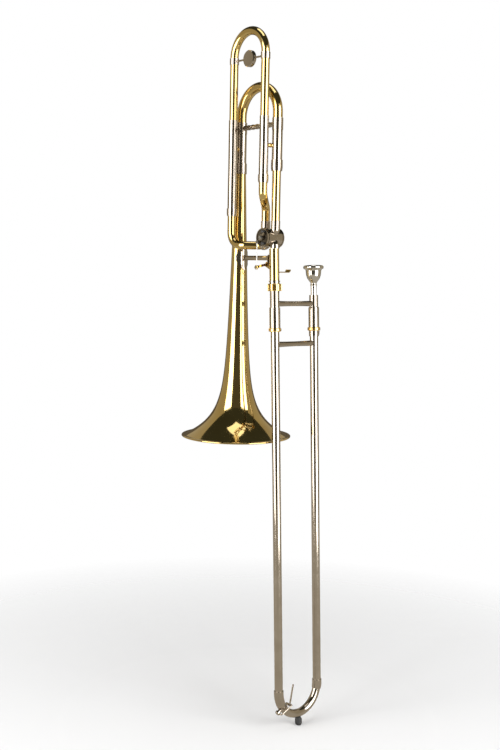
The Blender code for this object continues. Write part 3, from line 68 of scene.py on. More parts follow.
# Bell, from the mouth up to its tuning slide
BELL_STEM_TOP = 0.4905
BELL_STEM_TOP_RADIUS = 0.0092
BELL_STEM_TAPER = 0.0259
BELL_MOUTH_RADIUS = 0.1016
BELL_SLOW_FLARE = 0.0098
BELL_SLOW_FLARE_LENGTH = 0.1352
BELL_QUICK_FLARE_LENGTH = 0.0327
BELL_WALL = 0.0006
BELL_SIDES = 128
BELL_LONGEST_STEP = 0.0120
BELL_BEAD_RADIUS = 0.0016

# Main tuning slide
LEG_SPACING = 0.0980
BELL_LEG_RADIUS = 0.0092
NECK_LEG_RADIUS = 0.0085
TUNING_WALL = 0.0005
TUNING_BOW_RISE = 0.0298
TUNING_LEG_SEAT = 0.0145
TUNING_COLLAR_HEIGHT = 0.0200
TUNING_COLLAR_WALL = 0.0009
TUNING_SLEEVE_LENGTH = 0.0627
TUNING_BRACE_RADIUS = 0.0040
TUNING_BRACE_BEAD_RADIUS = 0.0049
TUNING_BRACE_BEADS = 7

# Fixed outer sleeves of both tuning slides
SLEEVE_WALL = 0.0004
FERRULE_WALL = 0.0008
FERRULE_ABOVE = 0.0107
FERRULE_BELOW = 0.0081

# Valve loop, in front of the main tubing
LOOP_OFFSET = 0.0225
LOOP_BELL_LEG_X = 0.0039
LOOP_NECK_LEG_INSET = 0.0099
LOOP_TUBE_RADIUS = 0.0074
LOOP_WALL = 0.0005
LOOP_BOW_RISE = 0.1934
LOOP_LEG_SEAT = 0.0320
LOOP_SLEEVE_RISE = 0.0497
LOOP_BELL_SLEEVE_RISE = 0.0460
LOOP_NECK_SLEEVE_RISE = 0.1020
LOOP_FERRULE_ABOVE = 0.0069
LOOP_FERRULE_BELOW = 0.0067
LOOP_COLLAR_DROP = 0.0001
LOOP_CORNER_RADIUS = 0.0240
LOOP_JOG_START = 0.0320
LOOP_JOG_END = 0.0095
LOOP_JOG_RADIUS = 0.0170
LOOP_STEP_TOP = 0.0450
LOOP_STEP_FOOT = 0.0230
LOOP_STEP_BEND = 0.0150
LOOP_COLLAR_HEIGHT = 0.0110
LOOP_COLLAR_WALL = 0.0006
LOOP_ROD_DROP = 0.0056
LOOP_ROD_RADIUS = 0.0017
LOOP_DISC_RADIUS = 0.0146
LOOP_DISC_THICKNESS = 0.0080
STAY_RISE = 0.0355
STAY_RADIUS = 0.0026

# Rotary valve, whose axis runs along Y
VALVE_DROP = 0.1245
PORT_OFFSET = 0.0132
CASING_RADIUS = 0.0165
CASING_WALL = 0.0013
CASING_FRONT = 0.0165
CASING_BACK = 0.0135
CASING_END_WALL = 0.0024
CASING_RIM = 0.0009
CASING_RIM_WIDTH = 0.0030
ROTOR_HALF_LENGTH = 0.0132
ROTOR_PASSAGE_RADIUS = 0.0050
ROTOR_PASSAGE_BEND = 0.0149
SPINDLE_RADIUS = 0.0030
SPINDLE_TIP = 0.0226
PORT_RADIUS = 0.0082
PORT_BORE_RADIUS = 0.0066
PORT_LENGTH = 0.0185
UPPER_PORT_LENGTH = 0.0294
REAR_PLATE_THICKNESS = 0.0020
BACK_CAP_THICKNESS = 0.0036
BACK_CAP_RADIUS = 0.0164
STOP_PLATE_RADIUS = 0.0145
STOP_PLATE_THICKNESS = 0.0016
BUMPER_RADIUS = 0.0022
BUMPER_LENGTH = 0.0052
BUMPER_CIRCLE = 0.0112

# Stop arm, connecting rod and thumb lever
ARM_RADIUS = 0.0110
ARM_ANGLE = radians(225)
ARM_WIDTH = 0.0036
ARM_THICKNESS = 0.0034
ARM_HUB_RADIUS = 0.0052
ARM_STANDOFF = 0.0009
VALVE_TURN = radians(90)
ROD_EYE_RADIUS = 0.0040
ROD_EYE_THICKNESS = 0.0022
ROD_RADIUS = 0.0009
ROD_EYE_BORE = 0.0025
LINK_PIN_RADIUS = 0.0009
SCREW_HEAD_RADIUS = 0.0036
SCREW_HEAD_HEIGHT = 0.0026
LEVER_PIVOT_DROP = 0.0100
LEVER_ROD_DROP = 0.0070
LEVER_THICKNESS = 0.0022
LEVER_BOSS_RADIUS = 0.0034
LEVER_ROD_GAP = 0.0005
LEVER_WEB_REACH = 0.0160
LEVER_WEB_DROP = 0.0145
LEVER_PADDLE_LENGTH = 0.0500
LEVER_PADDLE_START = 0.0240
LEVER_PADDLE_WIDTH = 0.0120
LEVER_PADDLE_THICKNESS = 0.0018
LEVER_PADDLE_CURL = 0.0050
PIVOT_RADIUS = 0.0015

# Bell brace and the bracket that it carries
BRACE_DROP = 0.0355
BRACE_RADIUS = 0.0043
BRACE_RING_RADIUS = 0.0055
BRACE_RING_WIDTH = 0.0045
BRACKET_THICKNESS = 0.0026
BRACKET_INSET = 0.0133
FLANGE_THICKNESS = 0.0009
FLANGE_HALF_HEIGHT = 0.0225
FLANGE_HALF_ANGLE = radians(68)

# Neck joint and slide section: levels are distances along the leaned axis below NECK_ORIGIN
NECK_DROP = 0.0681
SLIDE_LEAN = radians(2.742)
SLIDE_SPACING = 0.0961
NECKPIPE_RADIUS = 0.00875
NECKPIPE_WALL = 0.0005
GOOSENECK_RADIUS = 0.0076
NECK_RING_LEVEL = 0.0075
NECK_RING_RADIUS = 0.0101
NECK_RING_THICKNESS = 0.0016
THREAD_RADIUS = 0.0103
THREAD_END = 0.0212
TENON_TOP = 0.0110
TENON_RADIUS = 0.0078
TENON_FLANGE_RADIUS = 0.0103
TENON_FLANGE_THICKNESS = 0.0013
NUT_TOP = 0.0127
NUT_BOTTOM = 0.0254
NUT_RADIUS = 0.01265
NUT_FLUTE_DEPTH = 0.0009
SLIDE_TUBE_RADIUS = 0.00835
INNER_RADIUS = 0.0070
INNER_WALL = 0.0004
INNER_TOP = 0.0360
INNER_BOTTOM = 0.7440
OUTER_RADIUS = 0.0076
OUTER_WALL = 0.0003
OUTER_TOP = 0.0640
OUTER_BOTTOM = 0.7525
BARREL_TOP = 0.0537
BARREL_BOTTOM = 0.0909
BARREL_RADIUS = 0.00975
BARREL_WALL = 0.0013
BARREL_END_WALL = 0.0016
GOLD_RING_BOTTOM = 0.0973
GOLD_RING_RADIUS = 0.0114
LOCK_RING_BOTTOM = 0.0976
LOCK_RING_RADIUS = 0.0118
LOCK_COLLAR_LENGTH = 0.0100
LOCK_COLLAR_RADIUS = 0.0091
HOOK_REACH = 0.0055
HOOK_WIDTH = 0.0042
RECEIVER_TOP = 0.0325
RECEIVER_RADIUS = 0.0081
LEADPIPE_LENGTH = 0.2000
LEADPIPE_RADIUS = 0.0062
LEADPIPE_BORE_TOP = 0.0057
LEADPIPE_BORE_BOTTOM = 0.0056
UPPER_BRACE_LEVEL = 0.0480
LOWER_BRACE_LEVEL = 0.1204
SLIDE_BRACE_RADIUS = 0.0054
SLIDE_BRACE_WAIST = 0.0045

# Mouthpiece, hung in its receiver
MOUTHPIECE_TOP = -0.0217
SHANK_RADIUS = 0.0051
SHANK_TIP_RADIUS = 0.0046
SHANK_DEPTH = 0.0240
CUP_RIM_RADIUS = 0.0186
CUP_BORE_RADIUS = 0.0128
THROAT_RADIUS = 0.0034

# Slide crook, its bumper and its water key
CROOK_CENTRE = 0.7540
CROOK_RADIUS = 0.0075
CROOK_WALL = 0.0005
CROOK_FERRULE_WALL = 0.0009
LEFT_FERRULE_TOP = 0.7489
RIGHT_FERRULE_TOP = 0.7498
LEFT_FERRULE_STEPS = 6
RIGHT_FERRULE_STEPS = 3
BUMPER_TIP_RADIUS = 0.0064
BUMPER_TIP_LENGTH = 0.0145
BUMPER_FACE_RADIUS = 0.0046
NIPPLE_ANGLE = radians(35)
NIPPLE_RADIUS = 0.0034
NIPPLE_HEIGHT = 0.0040
KEY_CUP_RADIUS = 0.0047
KEY_CUP_HEIGHT = 0.0046
KEY_ANGLE = radians(44)
KEY_HINGE_OFFSET = 0.0042
KEY_BARREL_RADIUS = 0.0023
KEY_BARREL_LENGTH = 0.0050
KEY_POST_LENGTH = 0.0046
KEY_ARM_RADIUS = 0.0014
KEY_FINGER_LENGTH = 0.0370
KEY_FINGER_LEAN = radians(14)

# Worked-out heights
SLEEVE_JOINT = BELL_STEM_TOP
VALVE_HEIGHT = SLEEVE_JOINT - VALVE_DROP
TUNING_LEG_BOTTOM = SLEEVE_JOINT + TUNING_LEG_SEAT
TUNING_SLEEVE_TOP = SLEEVE_JOINT + TUNING_SLEEVE_LENGTH
TUNING_BOW_HEIGHT = TUNING_SLEEVE_TOP + TUNING_BOW_RISE
STAY_HEIGHT = SLEEVE_JOINT + STAY_RISE
LOOP_SLEEVE_TOP = STAY_HEIGHT + LOOP_SLEEVE_RISE
LOOP_BOW_HEIGHT = SLEEVE_JOINT + LOOP_BOW_RISE
LOOP_BELL_SLEEVE_BOTTOM = VALVE_HEIGHT + LOOP_BELL_SLEEVE_RISE
LOOP_NECK_SLEEVE_BOTTOM = VALVE_HEIGHT + LOOP_NECK_SLEEVE_RISE
LOOP_LEG_BOTTOM = LOOP_NECK_SLEEVE_BOTTOM + LOOP_LEG_SEAT
BRACE_HEIGHT = VALVE_HEIGHT - BRACE_DROP
LEVER_PIVOT_HEIGHT = BRACE_HEIGHT - LEVER_PIVOT_DROP
LEVER_ROD_HEIGHT = LEVER_PIVOT_HEIGHT - LEVER_ROD_DROP
NECK_ORIGIN = VALVE_HEIGHT - NECK_DROP

# Worked-out places
MAIN_X = LEG_SPACING
LOOP_NECK_LEG_X = MAIN_X - LOOP_NECK_LEG_INSET
BRACKET_X = MAIN_X - BRACKET_INSET
VALVE_X = MAIN_X - PORT_OFFSET
LOOP_PORT_X = VALVE_X - PORT_OFFSET
VALVE_CENTRE = Vector((VALVE_X, 0, VALVE_HEIGHT))
DOWN = Vector((0, 0, -1))
SLIDE_SIDE = (Vector((0, 0, 0)), Vector((0, SLIDE_SPACING, 0)))
PLATE_BACK = -(CASING_FRONT + GAP)
PLATE_FRONT = PLATE_BACK - STOP_PLATE_THICKNESS
ARM_BACK = PLATE_FRONT - ARM_STANDOFF
ARM_FRONT = ARM_BACK - ARM_THICKNESS
ROD_BACK = ARM_FRONT - GAP
ROD_FRONT = ROD_BACK - ROD_EYE_THICKNESS
ROD_Y = (ROD_BACK + ROD_FRONT) / 2
ARM_END = Vector((ARM_RADIUS * cos(ARM_ANGLE), 0, ARM_RADIUS * sin(ARM_ANGLE)))
ROD_X = VALVE_X + ARM_END.x
LEVER_X = ROD_X + ROD_EYE_THICKNESS / 2 + LEVER_ROD_GAP + LEVER_THICKNESS / 2

# Camera, worked out from measured edges of the photograph
CAMERA_PLACE = (1.4761, -1.2383, 0.3052)
CAMERA_FORWARD = (-0.75435, 0.64905, -0.09840)
CAMERA_ROLL = radians(1.109)
CAMERA_LENS = 50.0

# Studio
FLOOR_HEIGHT = -0.5262
FLOOR_COLOUR = (0.93, 0.93, 0.93)
FLOOR_CENTRE = (0.05, 0.0)
FLOOR_FADE_START = 0.35
FLOOR_FADE_END = 1.10
FRONT_CARD = (0.088, 0.082, 0.062)
SIDE_CARD = (0.42, 0.37, 0.27)
BACK_CARD = (0.12, 0.10, 0.07)
CEILING_CARD = (0.042, 0.044, 0.034)
FLOOR_CARD = (0.52, 0.48, 0.40)
CARD_STEPS = 12

# Trimmings that ride on the bell section, each listed with its finish
DETAILS = {
    "stay_bead_bell_side": "gold_plate",
    "stay_bead_neck_side": "gold_plate",
    "valve_front_ring": "nickel_silver",
}
BEAD_GAP = 0.0002
BEAD_RADIUS = 0.0042
BEAD_NECK_RADIUS = 0.0030
BEAD_FOOT_RADIUS = 0.0036
RING_STAND = 0.0008

# Finishes: base colour, cloudy second colour, worn edge colour, roughness, coat weight
FINISHES = {
    "lacquered_brass": ((0.70, 0.52, 0.20), (0.63, 0.45, 0.16), (0.84, 0.70, 0.38), 0.075, 0.5),
    "gold_plate": ((0.95, 0.66, 0.24), (0.86, 0.56, 0.18), (1.0, 0.82, 0.48), 0.13, 0.0),
    "nickel_silver": ((0.50, 0.44, 0.37), (0.44, 0.38, 0.31), (0.68, 0.63, 0.56), 0.11, 0.3),
    "polished_nickel": ((0.66, 0.63, 0.58), (0.60, 0.57, 0.52), (0.84, 0.82, 0.79), 0.06, 0.0),
    "dark_plate": ((0.15, 0.13, 0.10), (0.10, 0.085, 0.065), (0.34, 0.30, 0.25), 0.24, 0.0),
    "steel": ((0.50, 0.49, 0.47), (0.42, 0.41, 0.40), (0.70, 0.69, 0.67), 0.22, 0.0),
    "bronze": ((0.52, 0.36, 0.19), (0.42, 0.28, 0.14), (0.70, 0.52, 0.32), 0.26, 0.0),
}
RUBBER = ((0.018, 0.018, 0.020), (0.032, 0.031, 0.030), 0.58)


def noise(nodes, links, place, scale, detail, stretch=(1, 1, 1)):
    """A noise texture in the piece's own metres, drawn out along an axis where asked"""
    mapping = nodes.new("ShaderNodeMapping")
    mapping.inputs["Scale"].default_value = stretch
    links.new(place.outputs["Object"], mapping.inputs["Vector"])
    texture = nodes.new("ShaderNodeTexNoise")
    texture.inputs["Scale"].default_value = scale
    texture.inputs["Detail"].default_value = detail
    links.new(mapping.outputs["Vector"], texture.inputs["Vector"])
    return texture.outputs["Fac"]


def spread_value(nodes, links, value, low, high, start=0.35, end=0.65):
    """Map a texture's middle range to a range of values"""
    node = nodes.new("ShaderNodeMapRange")
    node.inputs["From Min"].default_value = start
    node.inputs["From Max"].default_value = end
    node.inputs["To Min"].default_value = low
    node.inputs["To Max"].default_value = high
    links.new(value, node.inputs["Value"])
    return node.outputs["Result"]


def mixed(nodes, links, factor, first, second):
    """Mix two colours; either may be a plain colour or another node's output"""
    node = nodes.new("ShaderNodeMix")
    node.data_type = "RGBA"
    links.new(factor, node.inputs["Factor"])
    for socket, colour in ((node.inputs["A"], first), (node.inputs["B"], second)):
        if isinstance(colour, tuple):
            socket.default_value = (*colour, 1.0)
        else:
            links.new(colour, socket)
    return node.outputs["Result"]


def add_bump(nodes, links, shader, height, strength, depth):
    """Fine relief from a texture"""
    bump = nodes.new("ShaderNodeBump")
    bump.inputs["Strength"].default_value = strength
    bump.inputs["Distance"].default_value = depth
    links.new(height, bump.inputs["Height"])
    links.new(bump.outputs["Normal"], shader.inputs["Normal"])


def new_shader(name):
    """An empty Principled material and what it is wired with"""
    material = bpy.data.materials.new(name)
    material.use_nodes = True
    nodes = material.node_tree.nodes
    place = nodes.new("ShaderNodeTexCoord")
    return material, nodes, material.node_tree.links, nodes["Principled BSDF"], place


def metal_material(name):
    """Polished metal: cloudy colour, brighter worn edges, handling marks in the gloss, wiping lines"""
    colour, cloud, worn, roughness, coat = FINISHES[name]
    material, nodes, links, shader, place = new_shader(name)
    shader.inputs["Metallic"].default_value = 1.0
    shader.inputs["Coat Weight"].default_value = coat
    shader.inputs["Coat Roughness"].default_value = 0.05
    clouds = spread_value(nodes, links, noise(nodes, links, place, 28, 5), 0, 1)
    base = mixed(nodes, links, clouds, colour, cloud)
    shape = nodes.new("ShaderNodeNewGeometry")
    edge = spread_value(nodes, links, shape.outputs["Pointiness"], 0, 0.6, 0.60, 0.75)
    links.new(mixed(nodes, links, edge, base, worn), shader.inputs["Base Color"])
    marks = noise(nodes, links, place, 75, 7)
    links.new(spread_value(nodes, links, marks, roughness * 0.75, roughness * 1.35), shader.inputs["Roughness"])
    lines = noise(nodes, links, place, 900, 3, (1, 1, 0.05))
    add_bump(nodes, links, shader, lines, 0.005, 0.00003)
    return material


def rubber_material(name):
    """Soft black rubber, a little dusty"""
    colour, dust, roughness = RUBBER
    material, nodes, links, shader, place = new_shader(name)
    base = mixed(nodes, links, spread_value(nodes, links, noise(nodes, links, place, 160, 6), 0, 1), colour, dust)
    links.new(base, shader.inputs["Base Color"])
    grain = noise(nodes, links, place, 2400, 4)
    links.new(spread_value(nodes, links, grain, roughness * 0.85, roughness * 1.15), shader.inputs["Roughness"])
    add_bump(nodes, links, shader, grain, 0.35, 0.0002)
    return material


MATERIALS = {name: metal_material(name) for name in FINISHES}
MATERIALS["rubber"] = rubber_material("rubber")


BUILT = []
MADE = {}


def add_piece(name, bm, finish, parent=None):
    """Turn a finished bmesh into an object that stands for the CAD node of that name"""
    bmesh.ops.recalc_face_normals(bm, faces=bm.faces)
    mesh = bpy.data.meshes.new(name)
    bm.to_mesh(mesh)
    bm.free()
    obj = bpy.data.objects.new(f"work_{name}", mesh)
    obj.data.materials.append(MATERIALS[finish])
    obj.parent = parent
    bpy.context.scene.collection.objects.link(obj)
    BUILT.append(obj)
    MADE[name] = obj
    return obj


def add_axis(name, location, rotation=(0, 0, 0), parent=None):
    """An empty that carries a group of pieces while they are built"""
    empty = bpy.data.objects.new(f"work_{name}", None)
    empty.location = location
    empty.rotation_euler = rotation
    empty.parent = parent
    bpy.context.scene.collection.objects.link(empty)
    BUILT.append(empty)
    return empty


def combine(obj, bm, operation):
    """Fuse another shape to a piece, or cut it away"""
    name = f"{obj.name}_tool_{len(obj.modifiers)}"
    tool = add_piece(name, bm, "steel", obj.parent)
    del MADE[name]
    modifier = obj.modifiers.new(name, "BOOLEAN")
    modifier.operation = operation
    modifier.object = tool
    modifier.solver = "EXACT"
    modifier.material_mode = "INDEX"


def eased(profile, steps=5):
    """A profile's points with a smooth curve drawn through them"""
    points = [Vector(p) for p in profile]
    ends = [points[0]] + points + [points[-1]]
    smooth = [points[0]]
    for a, b, c, d in zip(ends, ends[1:], ends[2:], ends[3:]):
        for step in range(1, steps + 1):
            t = step / steps
            smooth.append(0.5 * (2 * b + (c - a) * t + (2 * a - 5 * b + 4 * c - d) * t * t
                                 + (3 * b - a - 3 * c + d) * t ** 3))
    return [tuple(p) for p in smooth]


def settle(bodies):
    """Bake each built piece in place, put it on its CAD body, and clear the workings away"""
    body_of = {node: body for body, nodes in bodies.items() for node in nodes}
    bpy.context.view_layer.update()
    graph = bpy.context.evaluated_depsgraph_get()
    pieces = []
    for node, source in MADE.items():
        mesh = bpy.data.meshes.new_from_object(source.evaluated_get(graph))
        mesh.transform(source.matrix_world)
        mesh.shade_smooth()
        mesh.set_sharp_from_angle(angle=radians(32))
        piece = bpy.data.objects.new(node if node in DETAILS else f"fine_{node}", mesh)
        bpy.context.scene.collection.objects.link(piece)
        pieces.append((piece, node))
    for obj in BUILT:
        bpy.data.objects.remove(obj, do_unlink=True)
    for piece, node in pieces:
        if node in DETAILS:
            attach(piece, "bell_section")
            continue
        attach(piece, body_of[node])
        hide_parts(node)


def towards(direction, centre=(0, 0, 0)):
    """The placement that turns local Z to a direction and moves the origin to a centre"""
    turn = Vector((0, 0, 1)).rotation_difference(Vector(direction).normalized())
    return Matrix.Translation(Vector(centre)) @ turn.to_matrix().to_4x4()


def circle(radius, sides, place, height=0.0):
    """A ring of points round the local Z axis of a placement"""
    turns = [2 * pi * i / sides for i in range(sides)]
    return [place @ Vector((radius * cos(a), radius * sin(a), height)) for a in turns]


def loft(bm, rings, hollow=False):
    """Skin a run of rings that have equally many points, closed end to end or capped"""
    loops = [[bm.verts.new(point) for point in ring] for ring in rings]
    pairs = list(zip(loops, loops[1:]))
    if hollow:
        pairs.append((loops[-1], loops[0]))
    for first, second in pairs:
        for i, corner in enumerate(first):
            j = (i + 1) % len(first)
            bm.faces.new((corner, first[j], second[j], second[i]))
    if not hollow:
        bm.faces.new(loops[0][::-1])
        bm.faces.new(loops[-1])
    return bm


def turned(profile, place=Matrix.Identity(4), sides=TUBE_SIDES, hollow=False, bm=None):
    """Revolve (radius, height) points about the local Z axis of a placement"""
    rings = [circle(radius, sides, place, height) for radius, height in profile]
    return loft(bm or bmesh.new(), rings, hollow)


def pipe(outer, inner, bottom, top, place=Matrix.Identity(4), sides=TUBE_SIDES):
    """A straight hollow tube between two heights"""
    profile = [(outer, bottom), (outer, top), (inner, top), (inner, bottom)]
    return turned(profile, place, sides, hollow=True)


def rod(radius, start, end, sides=SMALL_SIDES, bm=None):
    """A straight solid rod between two points"""
    start, end = Vector(start), Vector(end)
    place = towards(end - start, start)
    return turned([(radius, 0), (radius, (end - start).length)], place, sides, bm=bm)


def rounded_path(corners, radii, steps=CORNER_STEPS):
    """A run of points with an arc at each inner corner"""
    corners = [Vector(corner) for corner in corners]
    path = [corners[0]]
    for before, corner, after, radius in zip(corners, corners[1:], corners[2:], radii):
        towards_before = (before - corner).normalized()
        towards_after = (after - corner).normalized()
        half = towards_before.angle(towards_after) / 2
        middle = (towards_before + towards_after).normalized()
        centre = corner + middle * radius / sin(half)
        start = corner + towards_before * radius / tan(half) - centre
        turn = start.rotation_difference(corner + towards_after * radius / tan(half) - centre)
        for step in range(steps + 1):
            share = turn.copy()
            share.angle = turn.angle * step / steps
            path.append(centre + share @ start)
    path.append(corners[-1])
    return path


def bow_path(start, end, centre, leg, steps=BOW_STEPS, away=Vector((0, 0, 1))):
    """Two straight legs joined by a half circle that bulges away from them"""
    start, end, centre = Vector(start), Vector(end), Vector(centre)
    half = (end - start) / 2
    path = [centre - half - away * leg[0]] if leg[0] else []
    for step in range(steps + 1):
        angle = pi * step / steps
        path.append(centre - half * cos(angle) + away * half.length * sin(angle))
    if leg[1]:
        path.append(centre + half - away * leg[1])
    return path


def swept_rings(path, radii, sides):
    """Rings square to a path, which keep their twist along it"""
    directions = []
    for i in range(len(path)):
        ahead = (path[min(i + 1, len(path) - 1)] - path[i]).normalized()
        behind = (path[i] - path[max(i - 1, 0)]).normalized()
        directions.append((ahead + behind).normalized())
    side = directions[0].orthogonal().normalized()
    rings = []
    for i, (point, direction) in enumerate(zip(path, directions)):
        if i:
            side = directions[i - 1].rotation_difference(direction) @ side
        across = direction.cross(side).normalized()
        turns = [2 * pi * k / sides for k in range(sides)]
        rings.append([point + (side * cos(a) + across * sin(a)) * radii[i] for a in turns])
    return rings


def spread(first, last, path):
    """Radii that change evenly along a path"""
    lengths = [0.0]
    for a, b in zip(path, path[1:]):
        lengths.append(lengths[-1] + (b - a).length)
    return [first + (last - first) * length / lengths[-1] for length in lengths]


def swept_pipe(path, radii, wall, sides=TUBE_SIDES):
    """A bent hollow tube along a path"""
    outer = swept_rings(path, radii, sides)
    inner = swept_rings(path, [radius - wall for radius in radii], sides)
    return loft(bmesh.new(), outer + inner[::-1], hollow=True)


def swept_rod(path, radius, sides=SMALL_SIDES, bm=None):
    """A bent solid rod along a path"""
    return loft(bm or bmesh.new(), swept_rings(path, [radius] * len(path), sides))


def plate(outline, thickness, place, bm=None):
    """A flat plate: a local XY outline, thick along local Z"""
    rings = []
    for height in (-thickness / 2, thickness / 2):
        rings.append([place @ Vector((x, y, height)) for x, y in outline])
    return loft(bm or bmesh.new(), rings)


def arc(centre, radius, start, end, steps):
    """Points of a flat arc, as (x, y) pairs"""
    turns = [start + (end - start) * i / steps for i in range(steps + 1)]
    return [(centre[0] + radius * cos(a), centre[1] + radius * sin(a)) for a in turns]


def link_outline(first, first_radius, second, second_radius, steps=6):
    """The outline of a flat link: two round ends joined by straight sides"""
    heading = atan2(second[1] - first[1], second[0] - first[0])
    outline = arc(first, first_radius, heading + pi / 2, heading + 3 * pi / 2, steps)
    return outline + arc(second, second_radius, heading - pi / 2, heading + pi / 2, steps)


def bell_radius(height):
    """The bell's outer radius at a height above its mouth"""
    straight = BELL_STEM_TOP_RADIUS + BELL_STEM_TAPER * (BELL_STEM_TOP - height)
    slow = BELL_SLOW_FLARE * exp(-height / BELL_SLOW_FLARE_LENGTH)
    mouth_straight = BELL_STEM_TOP_RADIUS + BELL_STEM_TAPER * BELL_STEM_TOP
    quick = BELL_MOUTH_RADIUS - mouth_straight - BELL_SLOW_FLARE
    return straight + slow + quick * exp(-height / BELL_QUICK_FLARE_LENGTH)


def make_bell():
    """The bell, a thin flaring shell with a beaded rim"""
    bead = BELL_BEAD_RADIUS
    levels = [0.0]
    step = 0.0010
    while levels[-1] + step < BELL_STEM_TOP * 0.97:
        levels.append(levels[-1] + step)
        step = min(step * 1.09, BELL_LONGEST_STEP)
    levels.append(BELL_STEM_TOP)
    outer = [(bell_radius(z), z) for z in levels[1:]]
    inner = [(radius - BELL_WALL, z) for radius, z in outer]
    lip = [(bell_radius(bead) - BELL_WALL * 3, 0.0)]
    lip += [(BELL_MOUTH_RADIUS - bead * (1 - sin(a)), bead * (1 - cos(a)))
            for a in [radians(10 + 20 * i) for i in range(9)]]
    lip.append((bell_radius(bead * 2) + BELL_WALL / 2, bead * 2))
    inner[0] = (inner[0][0] - BELL_WALL, inner[0][1])
    bm = turned(lip + outer + inner[::-1], sides=BELL_SIDES, hollow=True)
    add_piece("bell", bm, "lacquered_brass")


def sleeve_ferrule(name, x, y, joint, above, below, sleeve_radius, tube_radius):
    """A stepped ferrule over the joint between an outer sleeve and the tube below it"""
    top_bore = sleeve_radius + GAP
    low_bore = tube_radius + GAP
    outer_top = top_bore + FERRULE_WALL
    outer_low = max(low_bore + FERRULE_WALL, outer_top - FERRULE_WALL)
    profile = [
        (outer_low, joint - below),
        (outer_top, joint - below / 3),
        (outer_top, joint + above),
        (top_bore, joint + above),
        (top_bore, joint),
        (low_bore, joint),
        (low_bore, joint - below),
    ]
    bm = turned(profile, Matrix.Translation((x, y, 0)), hollow=True)
    add_piece(name, bm, "nickel_silver")


def make_tuning_sleeves():
    """The fixed outer sleeves of the main tuning slide, and their ferrules"""
    sides = (
        ("bell_side", 0.0, BELL_LEG_RADIUS, bell_radius(SLEEVE_JOINT - FERRULE_BELOW) + GAP),
        ("neck_side", MAIN_X, NECK_LEG_RADIUS, GOOSENECK_RADIUS),
    )
    for side, x, leg_radius, tube_radius in sides:
        bore = leg_radius + GAP
        radius = bore + SLEEVE_WALL
        bottom = SLEEVE_JOINT + GAP
        bm = pipe(radius, bore, bottom, TUNING_SLEEVE_TOP, Matrix.Translation((x, 0, 0)))
        add_piece(f"tuning_sleeve_{side}", bm, "nickel_silver")
        sleeve_ferrule(f"tuning_ferrule_{side}", x, 0.0, SLEEVE_JOINT, FERRULE_ABOVE,
                       FERRULE_BELOW, radius, tube_radius)


def make_gooseneck():
    """The straight brass tube from the valve up to the main tuning slide"""
    place = Matrix.Translation((MAIN_X, 0, 0))
    joint = VALVE_HEIGHT + UPPER_PORT_LENGTH
    bore = GOOSENECK_RADIUS - TUNING_WALL
    bm = pipe(GOOSENECK_RADIUS, bore, joint + GAP, SLEEVE_JOINT - GAP, place)
    add_piece("gooseneck_tube", bm, "lacquered_brass")


def make_main_tuning_slide():
    """The moving main bow with its two collars and the brace between them"""
    axis = add_axis("main_tuning_slide_axis", (MAIN_X / 2, 0, TUNING_BOW_HEIGHT))
    half = MAIN_X / 2
    leg = TUNING_BOW_HEIGHT - TUNING_LEG_BOTTOM
    path = bow_path((-half, 0, 0), (half, 0, 0), (0, 0, 0), (leg, leg))
    bm = swept_pipe(path, spread(BELL_LEG_RADIUS, NECK_LEG_RADIUS, path), TUNING_WALL)
    add_piece("main_tuning_bow", bm, "lacquered_brass", axis)
    bottom = TUNING_SLEEVE_TOP + GAP - TUNING_BOW_HEIGHT
    faces = []
    for side, x, radius in (("bell_side", -half, BELL_LEG_RADIUS), ("neck_side", half, NECK_LEG_RADIUS)):
        outer = radius + GAP + TUNING_COLLAR_WALL
        bm = pipe(outer, radius + GAP, bottom, bottom + TUNING_COLLAR_HEIGHT, Matrix.Translation((x, 0, 0)))
        add_piece(f"tuning_collar_{side}", bm, "nickel_silver", axis)
        faces.append(x - (outer + GAP) * (1 if x > 0 else -1))
    level = bottom + TUNING_COLLAR_HEIGHT / 2
    length = faces[1] - faces[0]
    pitch = length / (2 * TUNING_BRACE_BEADS)
    profile = []
    for i in range(2 * TUNING_BRACE_BEADS + 1):
        radius = TUNING_BRACE_RADIUS if i % 2 else TUNING_BRACE_BEAD_RADIUS
        profile.append((radius, i * pitch))
    bm = turned(profile, towards((1, 0, 0), (faces[0], 0, level)), SMALL_SIDES)
    add_piece("main_tuning_brace", bm, "nickel_silver", axis)


